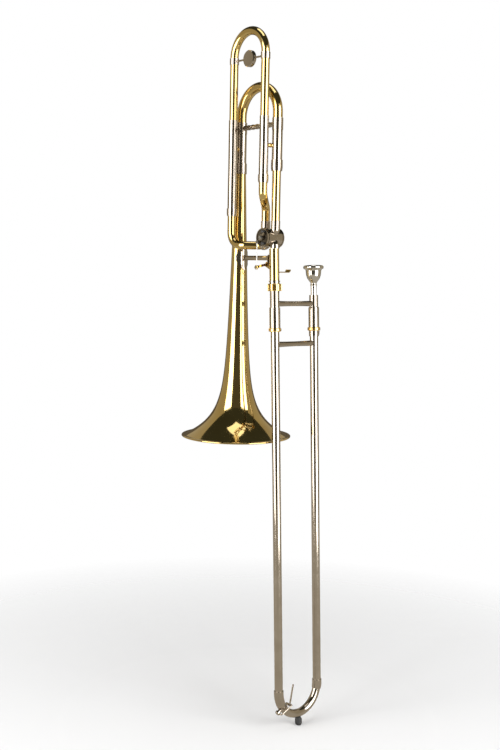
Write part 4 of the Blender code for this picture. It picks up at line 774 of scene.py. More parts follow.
def make_loop_slide():
    """The moving bow of the valve loop, with its collars, rods and round disc"""
    half = (LOOP_NECK_LEG_X - LOOP_BELL_LEG_X) / 2
    axis = add_axis("loop_slide_axis", (LOOP_BELL_LEG_X + half, -LOOP_OFFSET, LOOP_BOW_HEIGHT))
    leg = LOOP_BOW_HEIGHT - LOOP_LEG_BOTTOM
    path = bow_path((-half, 0, 0), (half, 0, 0), (0, 0, 0), (leg, leg))
    bm = swept_pipe(path, [LOOP_TUBE_RADIUS] * len(path), LOOP_WALL)
    add_piece("loop_bow", bm, "lacquered_brass", axis)
    top = -LOOP_COLLAR_DROP
    level = -LOOP_ROD_DROP
    bore = LOOP_TUBE_RADIUS + GAP
    outer = bore + LOOP_COLLAR_WALL
    for side, x in (("bell_side", -half), ("neck_side", half)):
        bm = pipe(outer, bore, top - LOOP_COLLAR_HEIGHT, top, Matrix.Translation((x, 0, 0)))
        add_piece(f"loop_collar_{side}", bm, "nickel_silver", axis)
    edge = LOOP_DISC_THICKNESS / 2
    chamfer = LOOP_DISC_THICKNESS / 6
    profile = [
        (LOOP_DISC_RADIUS - chamfer, -edge),
        (LOOP_DISC_RADIUS, -edge + chamfer),
        (LOOP_DISC_RADIUS, edge - chamfer),
        (LOOP_DISC_RADIUS - chamfer, edge),
    ]
    disc = add_piece("loop_disc", turned(profile, towards((0, 1, 0), (0, 0, level))), "nickel_silver", axis)
    reach = half - outer - GAP
    combine(disc, rod(LOOP_ROD_RADIUS, (-reach, 0, level), (reach, 0, level), PIN_SIDES), "UNION")


def make_loop_tubing():
    """The fixed part of the valve loop: sleeves, ferrules and the two bent tubes to the valve"""
    bore = LOOP_TUBE_RADIUS + GAP
    radius = bore + SLEEVE_WALL
    legs = (
        ("bell_side", LOOP_BELL_LEG_X, LOOP_BELL_SLEEVE_BOTTOM),
        ("neck_side", LOOP_NECK_LEG_X, LOOP_NECK_SLEEVE_BOTTOM),
    )
    for side, x, joint in legs:
        place = Matrix.Translation((x, -LOOP_OFFSET, 0))
        sleeve = add_piece(f"loop_sleeve_{side}", pipe(radius, bore, joint + GAP, LOOP_SLEEVE_TOP, place),
                           "nickel_silver")
        main_x, leg = (0.0, BELL_LEG_RADIUS) if side == "bell_side" else (MAIN_X, NECK_LEG_RADIUS)
        start = Vector((x, -LOOP_OFFSET, STAY_HEIGHT))
        end = Vector((main_x, 0, STAY_HEIGHT))
        along = (end - start).normalized()
        stay = rod(STAY_RADIUS, start + along * (bore + SLEEVE_WALL / 2),
                   end - along * (leg + 2 * GAP + SLEEVE_WALL), PIN_SIDES)
        combine(sleeve, stay, "UNION")
        sleeve_ferrule(f"loop_ferrule_{side}", x, -LOOP_OFFSET, joint, LOOP_FERRULE_ABOVE,
                       LOOP_FERRULE_BELOW, radius, LOOP_TUBE_RADIUS)
    x, y = LOOP_BELL_LEG_X, -LOOP_OFFSET
    run = VALVE_HEIGHT - PORT_OFFSET
    port = VALVE_X - PORT_LENGTH - GAP
    corners = [(x, y, LOOP_BELL_SLEEVE_BOTTOM - GAP), (x, y, run), (x + LOOP_JOG_START, y, run),
               (port - LOOP_JOG_END, 0, run), (port, 0, run)]
    path = rounded_path(corners, (LOOP_CORNER_RADIUS, LOOP_JOG_RADIUS, LOOP_JOG_RADIUS))
    bm = swept_pipe(path, [LOOP_TUBE_RADIUS] * len(path), LOOP_WALL)
    add_piece("loop_lower_tube", bm, "lacquered_brass")
    x = LOOP_NECK_LEG_X
    bottom = VALVE_HEIGHT + UPPER_PORT_LENGTH + GAP
    corners = [(x, y, LOOP_NECK_SLEEVE_BOTTOM - GAP), (x, y, bottom + LOOP_STEP_TOP),
               (LOOP_PORT_X, 0, bottom + LOOP_STEP_FOOT), (LOOP_PORT_X, 0, bottom)]
    path = rounded_path(corners, (LOOP_STEP_BEND, LOOP_STEP_BEND))
    bm = swept_pipe(path, [LOOP_TUBE_RADIUS] * len(path), LOOP_WALL)
    add_piece("loop_upper_tube", bm, "lacquered_brass")


def port_path(side_x, side_z, upright, start=0.0075):
    """A port's centre line, from inside the casing out to its end"""
    knee = PORT_OFFSET
    first = Vector((side_x * start, 0, side_z * start))
    corner = Vector((side_x * knee, 0, side_z * knee))
    if upright:
        length = UPPER_PORT_LENGTH if side_z > 0 else PORT_LENGTH
        end = Vector((side_x * knee, 0, side_z * length))
    else:
        end = Vector((side_x * PORT_LENGTH, 0, side_z * knee))
    return rounded_path([first, corner, end], (0.0080,), 10)


def port_rings(radius, extra):
    """The four ports as one shape: neckpipe, gooseneck, and the loop's two ends"""
    bm = bmesh.new()
    for side_x, side_z, upright in ((1, -1, True), (1, 1, True), (-1, 1, True), (-1, -1, False)):
        path = port_path(side_x, side_z, upright)
        path[-1] = path[-1] + (path[-1] - path[-2]).normalized() * extra
        loft(bm, swept_rings(path, [radius] * len(path), TUBE_SIDES))
    return bm


def make_valve_body():
    """The casing with its four ports, the rear bearing plate, the back cap and the stop plate"""
    centre = add_axis("valve_centre", VALVE_CENTRE)
    along = towards((0, 1, 0))
    bore = CASING_RADIUS - CASING_WALL
    rim = CASING_RADIUS + CASING_RIM
    front_wall = -CASING_FRONT + CASING_END_WALL
    profile = [
        (SPINDLE_RADIUS + PIN_CLEARANCE, -CASING_FRONT),
        (rim, -CASING_FRONT),
        (rim, -CASING_FRONT + CASING_RIM_WIDTH),
        (CASING_RADIUS, -CASING_FRONT + CASING_RIM_WIDTH),
        (CASING_RADIUS, CASING_BACK + REAR_PLATE_THICKNESS + GAP),
        (bore, CASING_BACK + REAR_PLATE_THICKNESS + GAP),
        (bore, front_wall),
        (SPINDLE_RADIUS + PIN_CLEARANCE, front_wall),
    ]
    casing = add_piece("valve_casing", turned(profile, along, hollow=True), "nickel_silver", centre)
    combine(casing, port_rings(PORT_RADIUS, 0.0), "UNION")
    cut = turned([(bore, front_wall), (bore, CASING_BACK + 0.02)], along)
    combine(casing, cut, "DIFFERENCE")
    combine(casing, port_rings(PORT_BORE_RADIUS, 0.002), "DIFFERENCE")
    plate_start = CASING_BACK + GAP / 2
    bm = pipe(bore - GAP, SPINDLE_RADIUS + PIN_CLEARANCE, plate_start,
              plate_start + REAR_PLATE_THICKNESS, along)
    add_piece("rear_bearing_plate", bm, "bronze", centre)
    start = CASING_BACK + REAR_PLATE_THICKNESS + 2 * GAP
    profile = [
        (BACK_CAP_RADIUS + CASING_RIM, start),
        (BACK_CAP_RADIUS + CASING_RIM, start + BACK_CAP_THICKNESS * 0.6),
        (BACK_CAP_RADIUS * 0.9, start + BACK_CAP_THICKNESS),
    ]
    add_piece("valve_back_cap", turned(profile, along), "nickel_silver", centre)
    bm = pipe(STOP_PLATE_RADIUS, SPINDLE_RADIUS + 0.0012, PLATE_FRONT, PLATE_BACK, along)
    add_piece("stop_plate", bm, "dark_plate", centre)
    finger_reach = asin((ARM_WIDTH / 2 + BUMPER_RADIUS + GAP) / BUMPER_CIRCLE)
    finger = ARM_ANGLE - pi
    stops = (("upper", finger + finger_reach), ("lower", finger - VALVE_TURN - finger_reach))
    for name, angle in stops:
        spot = (BUMPER_CIRCLE * cos(angle), PLATE_FRONT - GAP, BUMPER_CIRCLE * sin(angle))
        tip = (spot[0], PLATE_FRONT - GAP - BUMPER_LENGTH, spot[2])
        add_piece(f"stop_bumper_{name}", rod(BUMPER_RADIUS, spot, tip, PIN_SIDES), "rubber", centre)


def make_rotor():
    """The turning part of the valve: rotor with spindle, stop arm and its screw"""
    axis = add_axis("rotor_axis", VALVE_CENTRE)
    along = towards((0, 1, 0))
    radius = CASING_RADIUS - CASING_WALL - GAP
    profile = [
        (SPINDLE_RADIUS, -SPINDLE_TIP),
        (SPINDLE_RADIUS, -ROTOR_HALF_LENGTH),
        (radius, -ROTOR_HALF_LENGTH),
        (radius, ROTOR_HALF_LENGTH),
        (SPINDLE_RADIUS, ROTOR_HALF_LENGTH),
        (SPINDLE_RADIUS, CASING_BACK + REAR_PLATE_THICKNESS),
    ]
    rotor = add_piece("rotor", turned(profile, along), "bronze", axis)
    bm = bmesh.new()
    for side in (1, -1):
        centre_x = side * (radius * cos(pi / 4) + ROTOR_PASSAGE_BEND * cos(pi / 4))
        opening = radians(62)
        path = []
        for step in range(11):
            angle = -opening + 2 * opening * step / 10
            path.append(Vector((centre_x - side * ROTOR_PASSAGE_BEND * cos(angle), 0,
                                ROTOR_PASSAGE_BEND * sin(angle))))
        loft(bm, swept_rings(path, [ROTOR_PASSAGE_RADIUS] * len(path), SMALL_SIDES))
    combine(rotor, bm, "DIFFERENCE")
    make_stop_arm(axis)


def make_stop_arm(axis):
    """The arm that the rod turns, the finger that meets the bumpers, and the screw that holds them"""
    facing = Matrix.Rotation(radians(90), 4, "X")
    facing = Matrix.Translation((0, (ARM_BACK + ARM_FRONT) / 2, 0)) @ facing
    end = (ARM_END.x, ARM_END.z)
    finger = (-end[0] * 0.93, -end[1] * 0.93)
    half = ARM_WIDTH / 2
    bm = plate(link_outline(finger, half, end, half), ARM_THICKNESS, facing)
    arm = add_piece("stop_arm", bm, "nickel_silver", axis)
    hub = rod(ARM_HUB_RADIUS, (0, ARM_BACK + GAP, 0), (0, ARM_FRONT - GAP / 2, 0))
    combine(arm, hub, "UNION")
    pin = rod(LINK_PIN_RADIUS, (ARM_END.x, ARM_FRONT + ARM_THICKNESS / 2, ARM_END.z),
              (ARM_END.x, ROD_FRONT - GAP, ARM_END.z), PIN_SIDES)
    combine(arm, pin, "UNION")
    bore = rod(SPINDLE_RADIUS + GAP, (0, 0, 0), (0, ARM_FRONT - 0.01, 0))
    combine(arm, bore, "DIFFERENCE")
    start = ARM_FRONT - GAP
    profile = [
        (SCREW_HEAD_RADIUS, start),
        (SCREW_HEAD_RADIUS, start - SCREW_HEAD_HEIGHT * 0.7),
        (SCREW_HEAD_RADIUS * 0.8, start - SCREW_HEAD_HEIGHT),
    ]
    add_piece("stop_arm_screw", turned(profile, towards((0, 1, 0))), "steel", axis)


def make_connecting_rod():
    """The thin rod between the stop arm and the thumb lever, hung on the arm's pin"""
    top = VALVE_CENTRE + ARM_END
    axis = add_axis("connecting_rod_axis", (top.x, ROD_Y, top.z))
    drop = top.z - LEVER_ROD_HEIGHT
    bm = rod(ROD_RADIUS, (0, 0, -ROD_EYE_RADIUS * 0.7), (0, 0, -drop + ROD_EYE_RADIUS * 0.8), PIN_SIDES)
    link = add_piece("connecting_rod", bm, "steel", axis)
    half = ROD_EYE_THICKNESS / 2
    combine(link, rod(ROD_EYE_RADIUS * 0.75, (0, -half, 0), (0, half, 0)), "UNION")
    combine(link, rod(ROD_EYE_RADIUS, (-half, 0, -drop), (half, 0, -drop)), "UNION")
    cut = rod(LINK_PIN_RADIUS + PIN_CLEARANCE, (0, -2 * half, 0), (0, 2 * half, 0), PIN_SIDES)
    rod(ROD_EYE_BORE, (-2 * half, 0, -drop), (2 * half, 0, -drop), bm=cut)
    combine(link, cut, "DIFFERENCE")


def make_thumb_lever():
    """The lever that works the valve: front arm, web at the pivot, and the curled thumb paddle"""
    axis = add_axis("thumb_lever_axis", (LEVER_X, 0, LEVER_PIVOT_HEIGHT))
    drop = LEVER_ROD_HEIGHT - LEVER_PIVOT_HEIGHT
    upright = Matrix(((0, 0, 1, 0), (1, 0, 0, 0), (0, 1, 0, 0), (0, 0, 0, 1)))
    boss = LEVER_BOSS_RADIUS
    low = -LEVER_WEB_DROP
    front = ROD_Y - 0.0045
    outline = [(front, drop - 0.0018), (-boss * 2, -boss * 1.2), (LEVER_WEB_REACH, low - 0.0016)]
    outline += [(LEVER_PADDLE_START + 0.004, low - 0.0016), (LEVER_PADDLE_START + 0.004, low + 0.0006)]
    outline += [(LEVER_WEB_REACH, low + 0.0022)] + arc((0, 0), boss, 0, pi * 0.9, 20)
    outline += [(front, drop + 0.0018)]
    lever = add_piece("thumb_lever", plate(outline, LEVER_THICKNESS, upright), "lacquered_brass", axis)
    thick = LEVER_PADDLE_THICKNESS
    tip = LEVER_PADDLE_LENGTH
    curl_centre = (tip - LEVER_PADDLE_CURL, low + LEVER_PADDLE_CURL)
    under = arc(curl_centre, LEVER_PADDLE_CURL + thick / 2, -pi / 2, 0, 14)
    over = arc(curl_centre, LEVER_PADDLE_CURL - thick / 2, 0, -pi / 2, 14)
    start = LEVER_PADDLE_START
    outline = [(start, low - thick / 2)] + under + over + [(start, low + thick / 2)]
    combine(lever, plate(outline, LEVER_PADDLE_WIDTH, upright), "UNION")
    outer = ROD_X - ROD_EYE_THICKNESS / 2 - 0.0042 - LEVER_X
    pin = rod(LINK_PIN_RADIUS, (0, ROD_Y, drop), (outer, ROD_Y, drop), PIN_SIDES)
    combine(lever, pin, "UNION")
    bore = rod(PIVOT_RADIUS + PIN_CLEARANCE, (-LEVER_THICKNESS, 0, 0), (LEVER_THICKNESS, 0, 0), PIN_SIDES)
    combine(lever, bore, "DIFFERENCE")


def make_lever_mount():
    """The bracket on the bell brace and the pivot screw"""
    brace = Vector((BRACKET_X, 0, BRACE_HEIGHT))
    pivot = Vector((BRACKET_X, 0, LEVER_PIVOT_HEIGHT))
    upright = Matrix(((0, 0, 1, BRACKET_X), (1, 0, 0, 0), (0, 1, 0, 0), (0, 0, 0, 1)))
    outline = link_outline((0, pivot.z), 0.0042, (0, brace.z), BRACE_RADIUS + 0.0022)
    bracket = add_piece("lever_bracket", plate(outline, BRACKET_THICKNESS, upright), "nickel_silver")
    reach = Vector((BRACKET_THICKNESS, 0, 0))
    cut = rod(BRACE_RADIUS + GAP, brace - reach, brace + reach)
    rod(PIVOT_RADIUS + PIN_CLEARANCE, pivot - reach, pivot + reach, PIN_SIDES, cut)
    combine(bracket, cut, "DIFFERENCE")
    head = LEVER_X - LEVER_THICKNESS / 2 - GAP
    tail = BRACKET_X + BRACKET_THICKNESS / 2
    profile = [
        (SCREW_HEAD_RADIUS * 0.75, head - SCREW_HEAD_HEIGHT * 0.6),
        (SCREW_HEAD_RADIUS, head - SCREW_HEAD_HEIGHT * 0.4),
        (SCREW_HEAD_RADIUS, head),
        (PIVOT_RADIUS, head),
        (PIVOT_RADIUS, tail),
    ]
    place = towards((1, 0, 0), (0, 0, LEVER_PIVOT_HEIGHT))
    add_piece("lever_pivot_screw", turned(profile, place, SMALL_SIDES), "gold_plate")

def slide_place(level, side=0):
    """A placement on one of the slide's two tubes, at a level below the neck origin"""
    return Matrix.Translation(SLIDE_SIDE[side] + DOWN * level)


def make_bell_brace(neck):
    """The brace from the bell to the neckpipe, and the leaf-shaped flange that seats it on the bell"""
    seat = bell_radius(BRACE_HEIGHT)
    rings = []
    rows = 9
    columns = 12
    for row in range(rows):
        share = -1 + 2 * row / (rows - 1)
        height = BRACE_HEIGHT + FLANGE_HALF_HEIGHT * share
        inner = bell_radius(height) + 2 * GAP
        half_angle = FLANGE_HALF_ANGLE * max(1 - abs(share) ** 1.6, 0.06)
        angles = [-half_angle + 2 * half_angle * i / columns for i in range(columns + 1)]
        ring = [Vector(((inner + FLANGE_THICKNESS) * cos(a), (inner + FLANGE_THICKNESS) * sin(a), height))
                for a in angles]
        ring += [Vector((inner * cos(a), inner * sin(a), height)) for a in reversed(angles)]
        rings.append(ring)
    add_piece("bell_brace_flange", loft(bmesh.new(), rings), "nickel_silver")
    start = seat + FLANGE_THICKNESS + 4 * GAP
    neck_x = MAIN_X + tan(SLIDE_LEAN) * (NECK_ORIGIN - BRACE_HEIGHT)
    end = neck_x - NECKPIPE_RADIUS / cos(SLIDE_LEAN) - 2 * GAP
    ring = BRACE_RING_RADIUS
    profile = [
        (ring, start),
        (ring, start + BRACE_RING_WIDTH),
        (BRACE_RADIUS, start + BRACE_RING_WIDTH),
        (BRACE_RADIUS, end),
    ]
    place = towards((1, 0, 0), (0, 0, BRACE_HEIGHT))
    add_piece("bell_brace", turned(profile, place, SMALL_SIDES), "nickel_silver")


def make_neck(slide_frame):
    """The neckpipe and the threaded receiver below it, both in line with the slide"""
    port_bottom = VALVE_HEIGHT - PORT_LENGTH
    rise = (port_bottom - NECK_ORIGIN) / cos(SLIDE_LEAN) - NECKPIPE_RADIUS * tan(SLIDE_LEAN) - GAP
    bore = NECKPIPE_RADIUS - NECKPIPE_WALL
    bm = pipe(NECKPIPE_RADIUS, bore, -NECK_RING_LEVEL + GAP, rise)
    add_piece("neckpipe", bm, "lacquered_brass", slide_frame)
    socket = TENON_RADIUS + GAP
    ring_low = -NECK_RING_LEVEL - NECK_RING_THICKNESS
    profile = [
        (bore, -NECK_RING_LEVEL),
        (NECK_RING_RADIUS, -NECK_RING_LEVEL),
        (NECK_RING_RADIUS, ring_low),
        (NECKPIPE_RADIUS + GAP, ring_low),
        (NECKPIPE_RADIUS + GAP, -NUT_TOP),
        (THREAD_RADIUS, -NUT_TOP),
        (THREAD_RADIUS, -THREAD_END),
        (socket, -THREAD_END),
        (socket, ring_low),
        (bore, ring_low),
    ]
    add_piece("neck_receiver", turned(profile, hollow=True), "nickel_silver", slide_frame)


def make_lock_nut(slide_frame):
    """The fluted nut that draws the slide section up to the neck receiver"""
    axis = add_axis("lock_nut_axis", DOWN * NUT_TOP, parent=slide_frame)
    length = NUT_BOTTOM - NUT_TOP
    bore = THREAD_RADIUS + GAP
    lip = SLIDE_TUBE_RADIUS + GAP
    seat = THREAD_END + 2 * GAP + TENON_FLANGE_THICKNESS - NUT_TOP
    chamfer = NUT_FLUTE_DEPTH
    sections = [
        (NUT_RADIUS - chamfer, 0.0, True),
        (NUT_RADIUS, -chamfer, True),
        (NUT_RADIUS, -length + chamfer, True),
        (NUT_RADIUS - chamfer, -length, True),
        (lip, -length, False),
        (lip, -seat, False),
        (bore, -seat, False),
        (bore, 0.0, False),
    ]
    sides = 2 * TUBE_SIDES
    rings = []
    for radius, height, fluted in sections:
        ring = []
        for i in range(sides):
            angle = 2 * pi * i / sides
            depth = NUT_FLUTE_DEPTH if fluted and i % 4 == 0 else 0.0
            ring.append(Vector(((radius - depth) * cos(angle), (radius - depth) * sin(angle), height)))
        rings.append(ring)
    add_piece("bell_lock_nut", loft(bmesh.new(), rings, hollow=True), "gold_plate", axis)


def barrel_profile(tube_radius, bottom):
    """A cork barrel: a wide tube closed at its top onto the tube that it sits on"""
    bore = BARREL_RADIUS - BARREL_WALL
    hole = INNER_RADIUS + GAP
    shoulder = tube_radius + 0.0006
    return [
        (shoulder, -BARREL_TOP),
        (BARREL_RADIUS, -BARREL_TOP - 0.0024),
        (BARREL_RADIUS, -bottom),
        (bore, -bottom),
        (bore, -BARREL_TOP - BARREL_END_WALL),
        (hole, -BARREL_TOP - BARREL_END_WALL),
        (hole, -BARREL_TOP),
    ]


def make_slide_section(slide_frame):
    """The inner half of the hand slide, which turns about the neck joint"""
    axis = add_axis("slide_section_axis", (0, 0, 0), parent=slide_frame)
    flange_top = THREAD_END + GAP
    flange_low = flange_top + TENON_FLANGE_THICKNESS
    bore = INNER_RADIUS + GAP
    bottom = BARREL_TOP - GAP
    profile = [
        (TENON_RADIUS, -TENON_TOP),
        (TENON_RADIUS, -flange_top),
        (TENON_FLANGE_RADIUS, -flange_top),
        (TENON_FLANGE_RADIUS, -flange_low),
        (SLIDE_TUBE_RADIUS, -flange_low),
        (SLIDE_TUBE_RADIUS, -bottom),
        (bore, -bottom),
        (bore, -INNER_TOP + GAP),
        (TENON_RADIUS - 0.0012, -INNER_TOP + GAP),
        (TENON_RADIUS - 0.0012, -TENON_TOP),
    ]
    add_piece("slide_tenon_tube", turned(profile, hollow=True), "nickel_silver", axis)
    for side, name in enumerate(("left", "right")):
        place = slide_place(0, side)
        bm = pipe(INNER_RADIUS, INNER_RADIUS - INNER_WALL, -INNER_BOTTOM, -INNER_TOP, place)
        add_piece(f"inner_slide_tube_{name}", bm, "polished_nickel", axis)
        tube_radius = (SLIDE_TUBE_RADIUS, RECEIVER_RADIUS)[side]
        bm = turned(barrel_profile(tube_radius, BARREL_BOTTOM), place, hollow=True)
        add_piece(f"cork_barrel_{name}", bm, "nickel_silver", axis)
    profile = [
        (GOLD_RING_RADIUS - 0.0008, -BARREL_BOTTOM - GAP),
        (GOLD_RING_RADIUS, -BARREL_BOTTOM - 0.0016),
        (GOLD_RING_RADIUS, -GOLD_RING_BOTTOM + 0.0012),
        (GOLD_RING_RADIUS - 0.0010, -GOLD_RING_BOTTOM),
        (OUTER_RADIUS + 2 * GAP, -GOLD_RING_BOTTOM),
        (OUTER_RADIUS + 2 * GAP, -BARREL_BOTTOM - GAP),
    ]
    add_piece("barrel_ring_left", turned(profile, hollow=True), "gold_plate", axis)
    make_receiver(axis)
    make_slide_brace("upper_slide_brace", UPPER_BRACE_LEVEL, SLIDE_TUBE_RADIUS, RECEIVER_RADIUS, axis)
    return axis


def make_receiver(axis):
    """The mouthpiece receiver, with the leadpipe inside the right inner tube"""
    place = slide_place(0, 1)
    bore = INNER_RADIUS + GAP
    mouth = LEADPIPE_RADIUS + GAP
    profile = [
        (RECEIVER_RADIUS, -RECEIVER_TOP),
        (RECEIVER_RADIUS, -BARREL_TOP + GAP),
        (bore, -BARREL_TOP + GAP),
        (bore, -INNER_TOP + GAP),
        (mouth, -INNER_TOP + GAP),
        (mouth, -RECEIVER_TOP),
    ]
    add_piece("mouthpiece_receiver", turned(profile, place, hollow=True), "nickel_silver", axis)
    low = -RECEIVER_TOP - LEADPIPE_LENGTH
    profile = [
        (LEADPIPE_RADIUS, -RECEIVER_TOP),
        (LEADPIPE_RADIUS, low),
        (LEADPIPE_BORE_BOTTOM, low),
        (LEADPIPE_BORE_TOP, -RECEIVER_TOP),
    ]
    add_piece("leadpipe", turned(profile, place, hollow=True), "lacquered_brass", axis)


def make_slide_brace(name, level, left_radius, right_radius, parent):
    """A waisted brace across the slide, its ends hollowed to fit both tubes"""
    length = SLIDE_SPACING
    stations = (0.0, 0.13, 0.30, 0.50, 0.70, 0.87, 1.0)
    profile = []
    for share in stations:
        swell = (2 * share - 1) ** 2
        radius = SLIDE_BRACE_WAIST + (SLIDE_BRACE_RADIUS - SLIDE_BRACE_WAIST) * swell
        profile.append((radius, length * share))
    place = towards((0, 1, 0), (0, 0, -level))
    brace = add_piece(name, turned(profile, place, SMALL_SIDES), "nickel_silver", parent)
    span = 4 * SLIDE_BRACE_RADIUS
    cut = bmesh.new()
    for side, radius in enumerate((left_radius, right_radius)):
        foot = SLIDE_SIDE[side] + DOWN * (level + span / 2)
        turned([(radius + GAP, 0), (radius + GAP, span)], Matrix.Translation(foot), 2 * TUBE_SIDES, bm=cut)
    combine(brace, cut, "DIFFERENCE")
    return brace


def make_slide_lock(section_axis):
    """The turning lock ring below the right barrel"""
    axis = add_axis("lock_ring_axis", SLIDE_SIDE[1] + DOWN * (BARREL_BOTTOM + GAP), parent=section_axis)
    length = LOCK_RING_BOTTOM - BARREL_BOTTOM - GAP
    bore = OUTER_RADIUS + 2 * GAP
    profile = [
        (LOCK_RING_RADIUS - 0.0008, 0.0),
        (LOCK_RING_RADIUS, -length * 0.25),
        (LOCK_RING_RADIUS, -length * 0.8),
        (LOCK_RING_RADIUS - 0.0010, -length),
        (bore, -length),
        (bore, 0.0),
    ]
    add_piece("slide_lock_ring", turned(profile, hollow=True), "gold_plate", axis)


def crook_point(angle, radius):
    """A point in the crook's plane: angle 0 points to the left leg and 90 degrees points down"""
    centre = Vector((0, SLIDE_SPACING / 2, -CROOK_CENTRE))
    return centre + Vector((0, -cos(angle), -sin(angle))) * radius


def make_hand_slide(slide_frame):
    """The outer half of the hand slide: two tubes, brace, crook, ferrules, lock collar and bumper"""
    axis = add_axis("hand_slide_axis", (0, 0, 0), parent=slide_frame)
    for side, name in enumerate(("left", "right")):
        bm = pipe(OUTER_RADIUS, OUTER_RADIUS - OUTER_WALL, -OUTER_BOTTOM, -OUTER_TOP, slide_place(0, side))
        add_piece(f"outer_slide_tube_{name}", bm, "nickel_silver", axis)
    make_slide_brace("lower_slide_brace", LOWER_BRACE_LEVEL, OUTER_RADIUS, OUTER_RADIUS, axis)
    make_lock_collar(axis)
    bend = SLIDE_SPACING / 2
    leg = CROOK_CENTRE - OUTER_BOTTOM - GAP
    path = bow_path(SLIDE_SIDE[0], SLIDE_SIDE[1], (0, bend, -CROOK_CENTRE), (leg, leg), away=DOWN)
    bm = swept_pipe(path, [CROOK_RADIUS] * len(path), CROOK_WALL)
    crook = add_piece("slide_crook", bm, "nickel_silver", axis)
    outward = crook_point(NIPPLE_ANGLE, 1) - crook_point(NIPPLE_ANGLE, 0)
    skin = bend + CROOK_RADIUS
    profile = [
        (NIPPLE_RADIUS * 1.15, -CROOK_WALL * 1.6),
        (NIPPLE_RADIUS, NIPPLE_HEIGHT * 0.3),
        (NIPPLE_RADIUS, NIPPLE_HEIGHT),
    ]
    nipple = turned(profile, towards(outward, crook_point(NIPPLE_ANGLE, skin)), SMALL_SIDES)
    combine(crook, nipple, "UNION")
    make_crook_ferrule("crook_ferrule_left", 0.0, LEFT_FERRULE_TOP, LEFT_FERRULE_STEPS, axis)
    make_crook_ferrule("crook_ferrule_right", pi, RIGHT_FERRULE_TOP, RIGHT_FERRULE_STEPS, axis)
    top = CROOK_CENTRE + bend + CROOK_RADIUS + GAP
    low = top + BUMPER_TIP_LENGTH
    profile = [
        (BUMPER_TIP_RADIUS * 0.72, -top),
        (BUMPER_TIP_RADIUS, -top - 0.0040),
        (BUMPER_TIP_RADIUS, -low + 0.0042),
        (BUMPER_TIP_RADIUS * 0.92, -low + 0.0018),
        (BUMPER_FACE_RADIUS, -low),
    ]
    bm = turned(profile, Matrix.Translation((0, bend, 0)))
    add_piece("slide_bumper", bm, "rubber", axis)
    return axis


def make_lock_collar(axis):
    """The collar on the right outer tube, with the hook that the lock ring catches"""
    top = -LOCK_RING_BOTTOM - GAP
    low = top - LOCK_COLLAR_LENGTH
    bore = OUTER_RADIUS + GAP
    bm = pipe(LOCK_COLLAR_RADIUS, bore, low, top, slide_place(0, 1))
    collar = add_piece("lock_collar", bm, "nickel_silver", axis)
    inner = LOCK_COLLAR_RADIUS - 0.0007
    outline = [(inner, low + 0.0022), (LOCK_COLLAR_RADIUS + HOOK_REACH * 0.45, low + 0.0022),
               (LOCK_COLLAR_RADIUS + HOOK_REACH * 0.62, top - 0.0006), (inner, top - 0.0006)]
    upright = Matrix(((0, 0, 1, 0), (1, 0, 0, SLIDE_SPACING), (0, 1, 0, 0), (0, 0, 0, 1)))
    combine(collar, plate(outline, HOOK_WIDTH, upright), "UNION")


def make_crook_ferrule(name, angle, top, steps, axis):
    """A ferrule that follows the crook from its tube a few of its steps round the bend"""
    radius = SLIDE_SPACING / 2
    path = [crook_point(angle, radius) + Vector((0, 0, CROOK_CENTRE - top))]
    turn = (1 if angle == 0.0 else -1) * pi / BOW_STEPS
    for step in range(steps + 1):
        path.append(crook_point(angle + turn * step, radius))
    outer = OUTER_RADIUS + GAP + CROOK_FERRULE_WALL
    bore = OUTER_RADIUS + GAP
    radii = [outer] * (len(path) - 1) + [outer - CROOK_FERRULE_WALL * 0.5]
    rings = swept_rings(path, radii, TUBE_SIDES)
    rings += swept_rings(path, [bore] * len(path), TUBE_SIDES)[::-1]
    add_piece(name, loft(bmesh.new(), rings, hollow=True), "nickel_silver", axis)


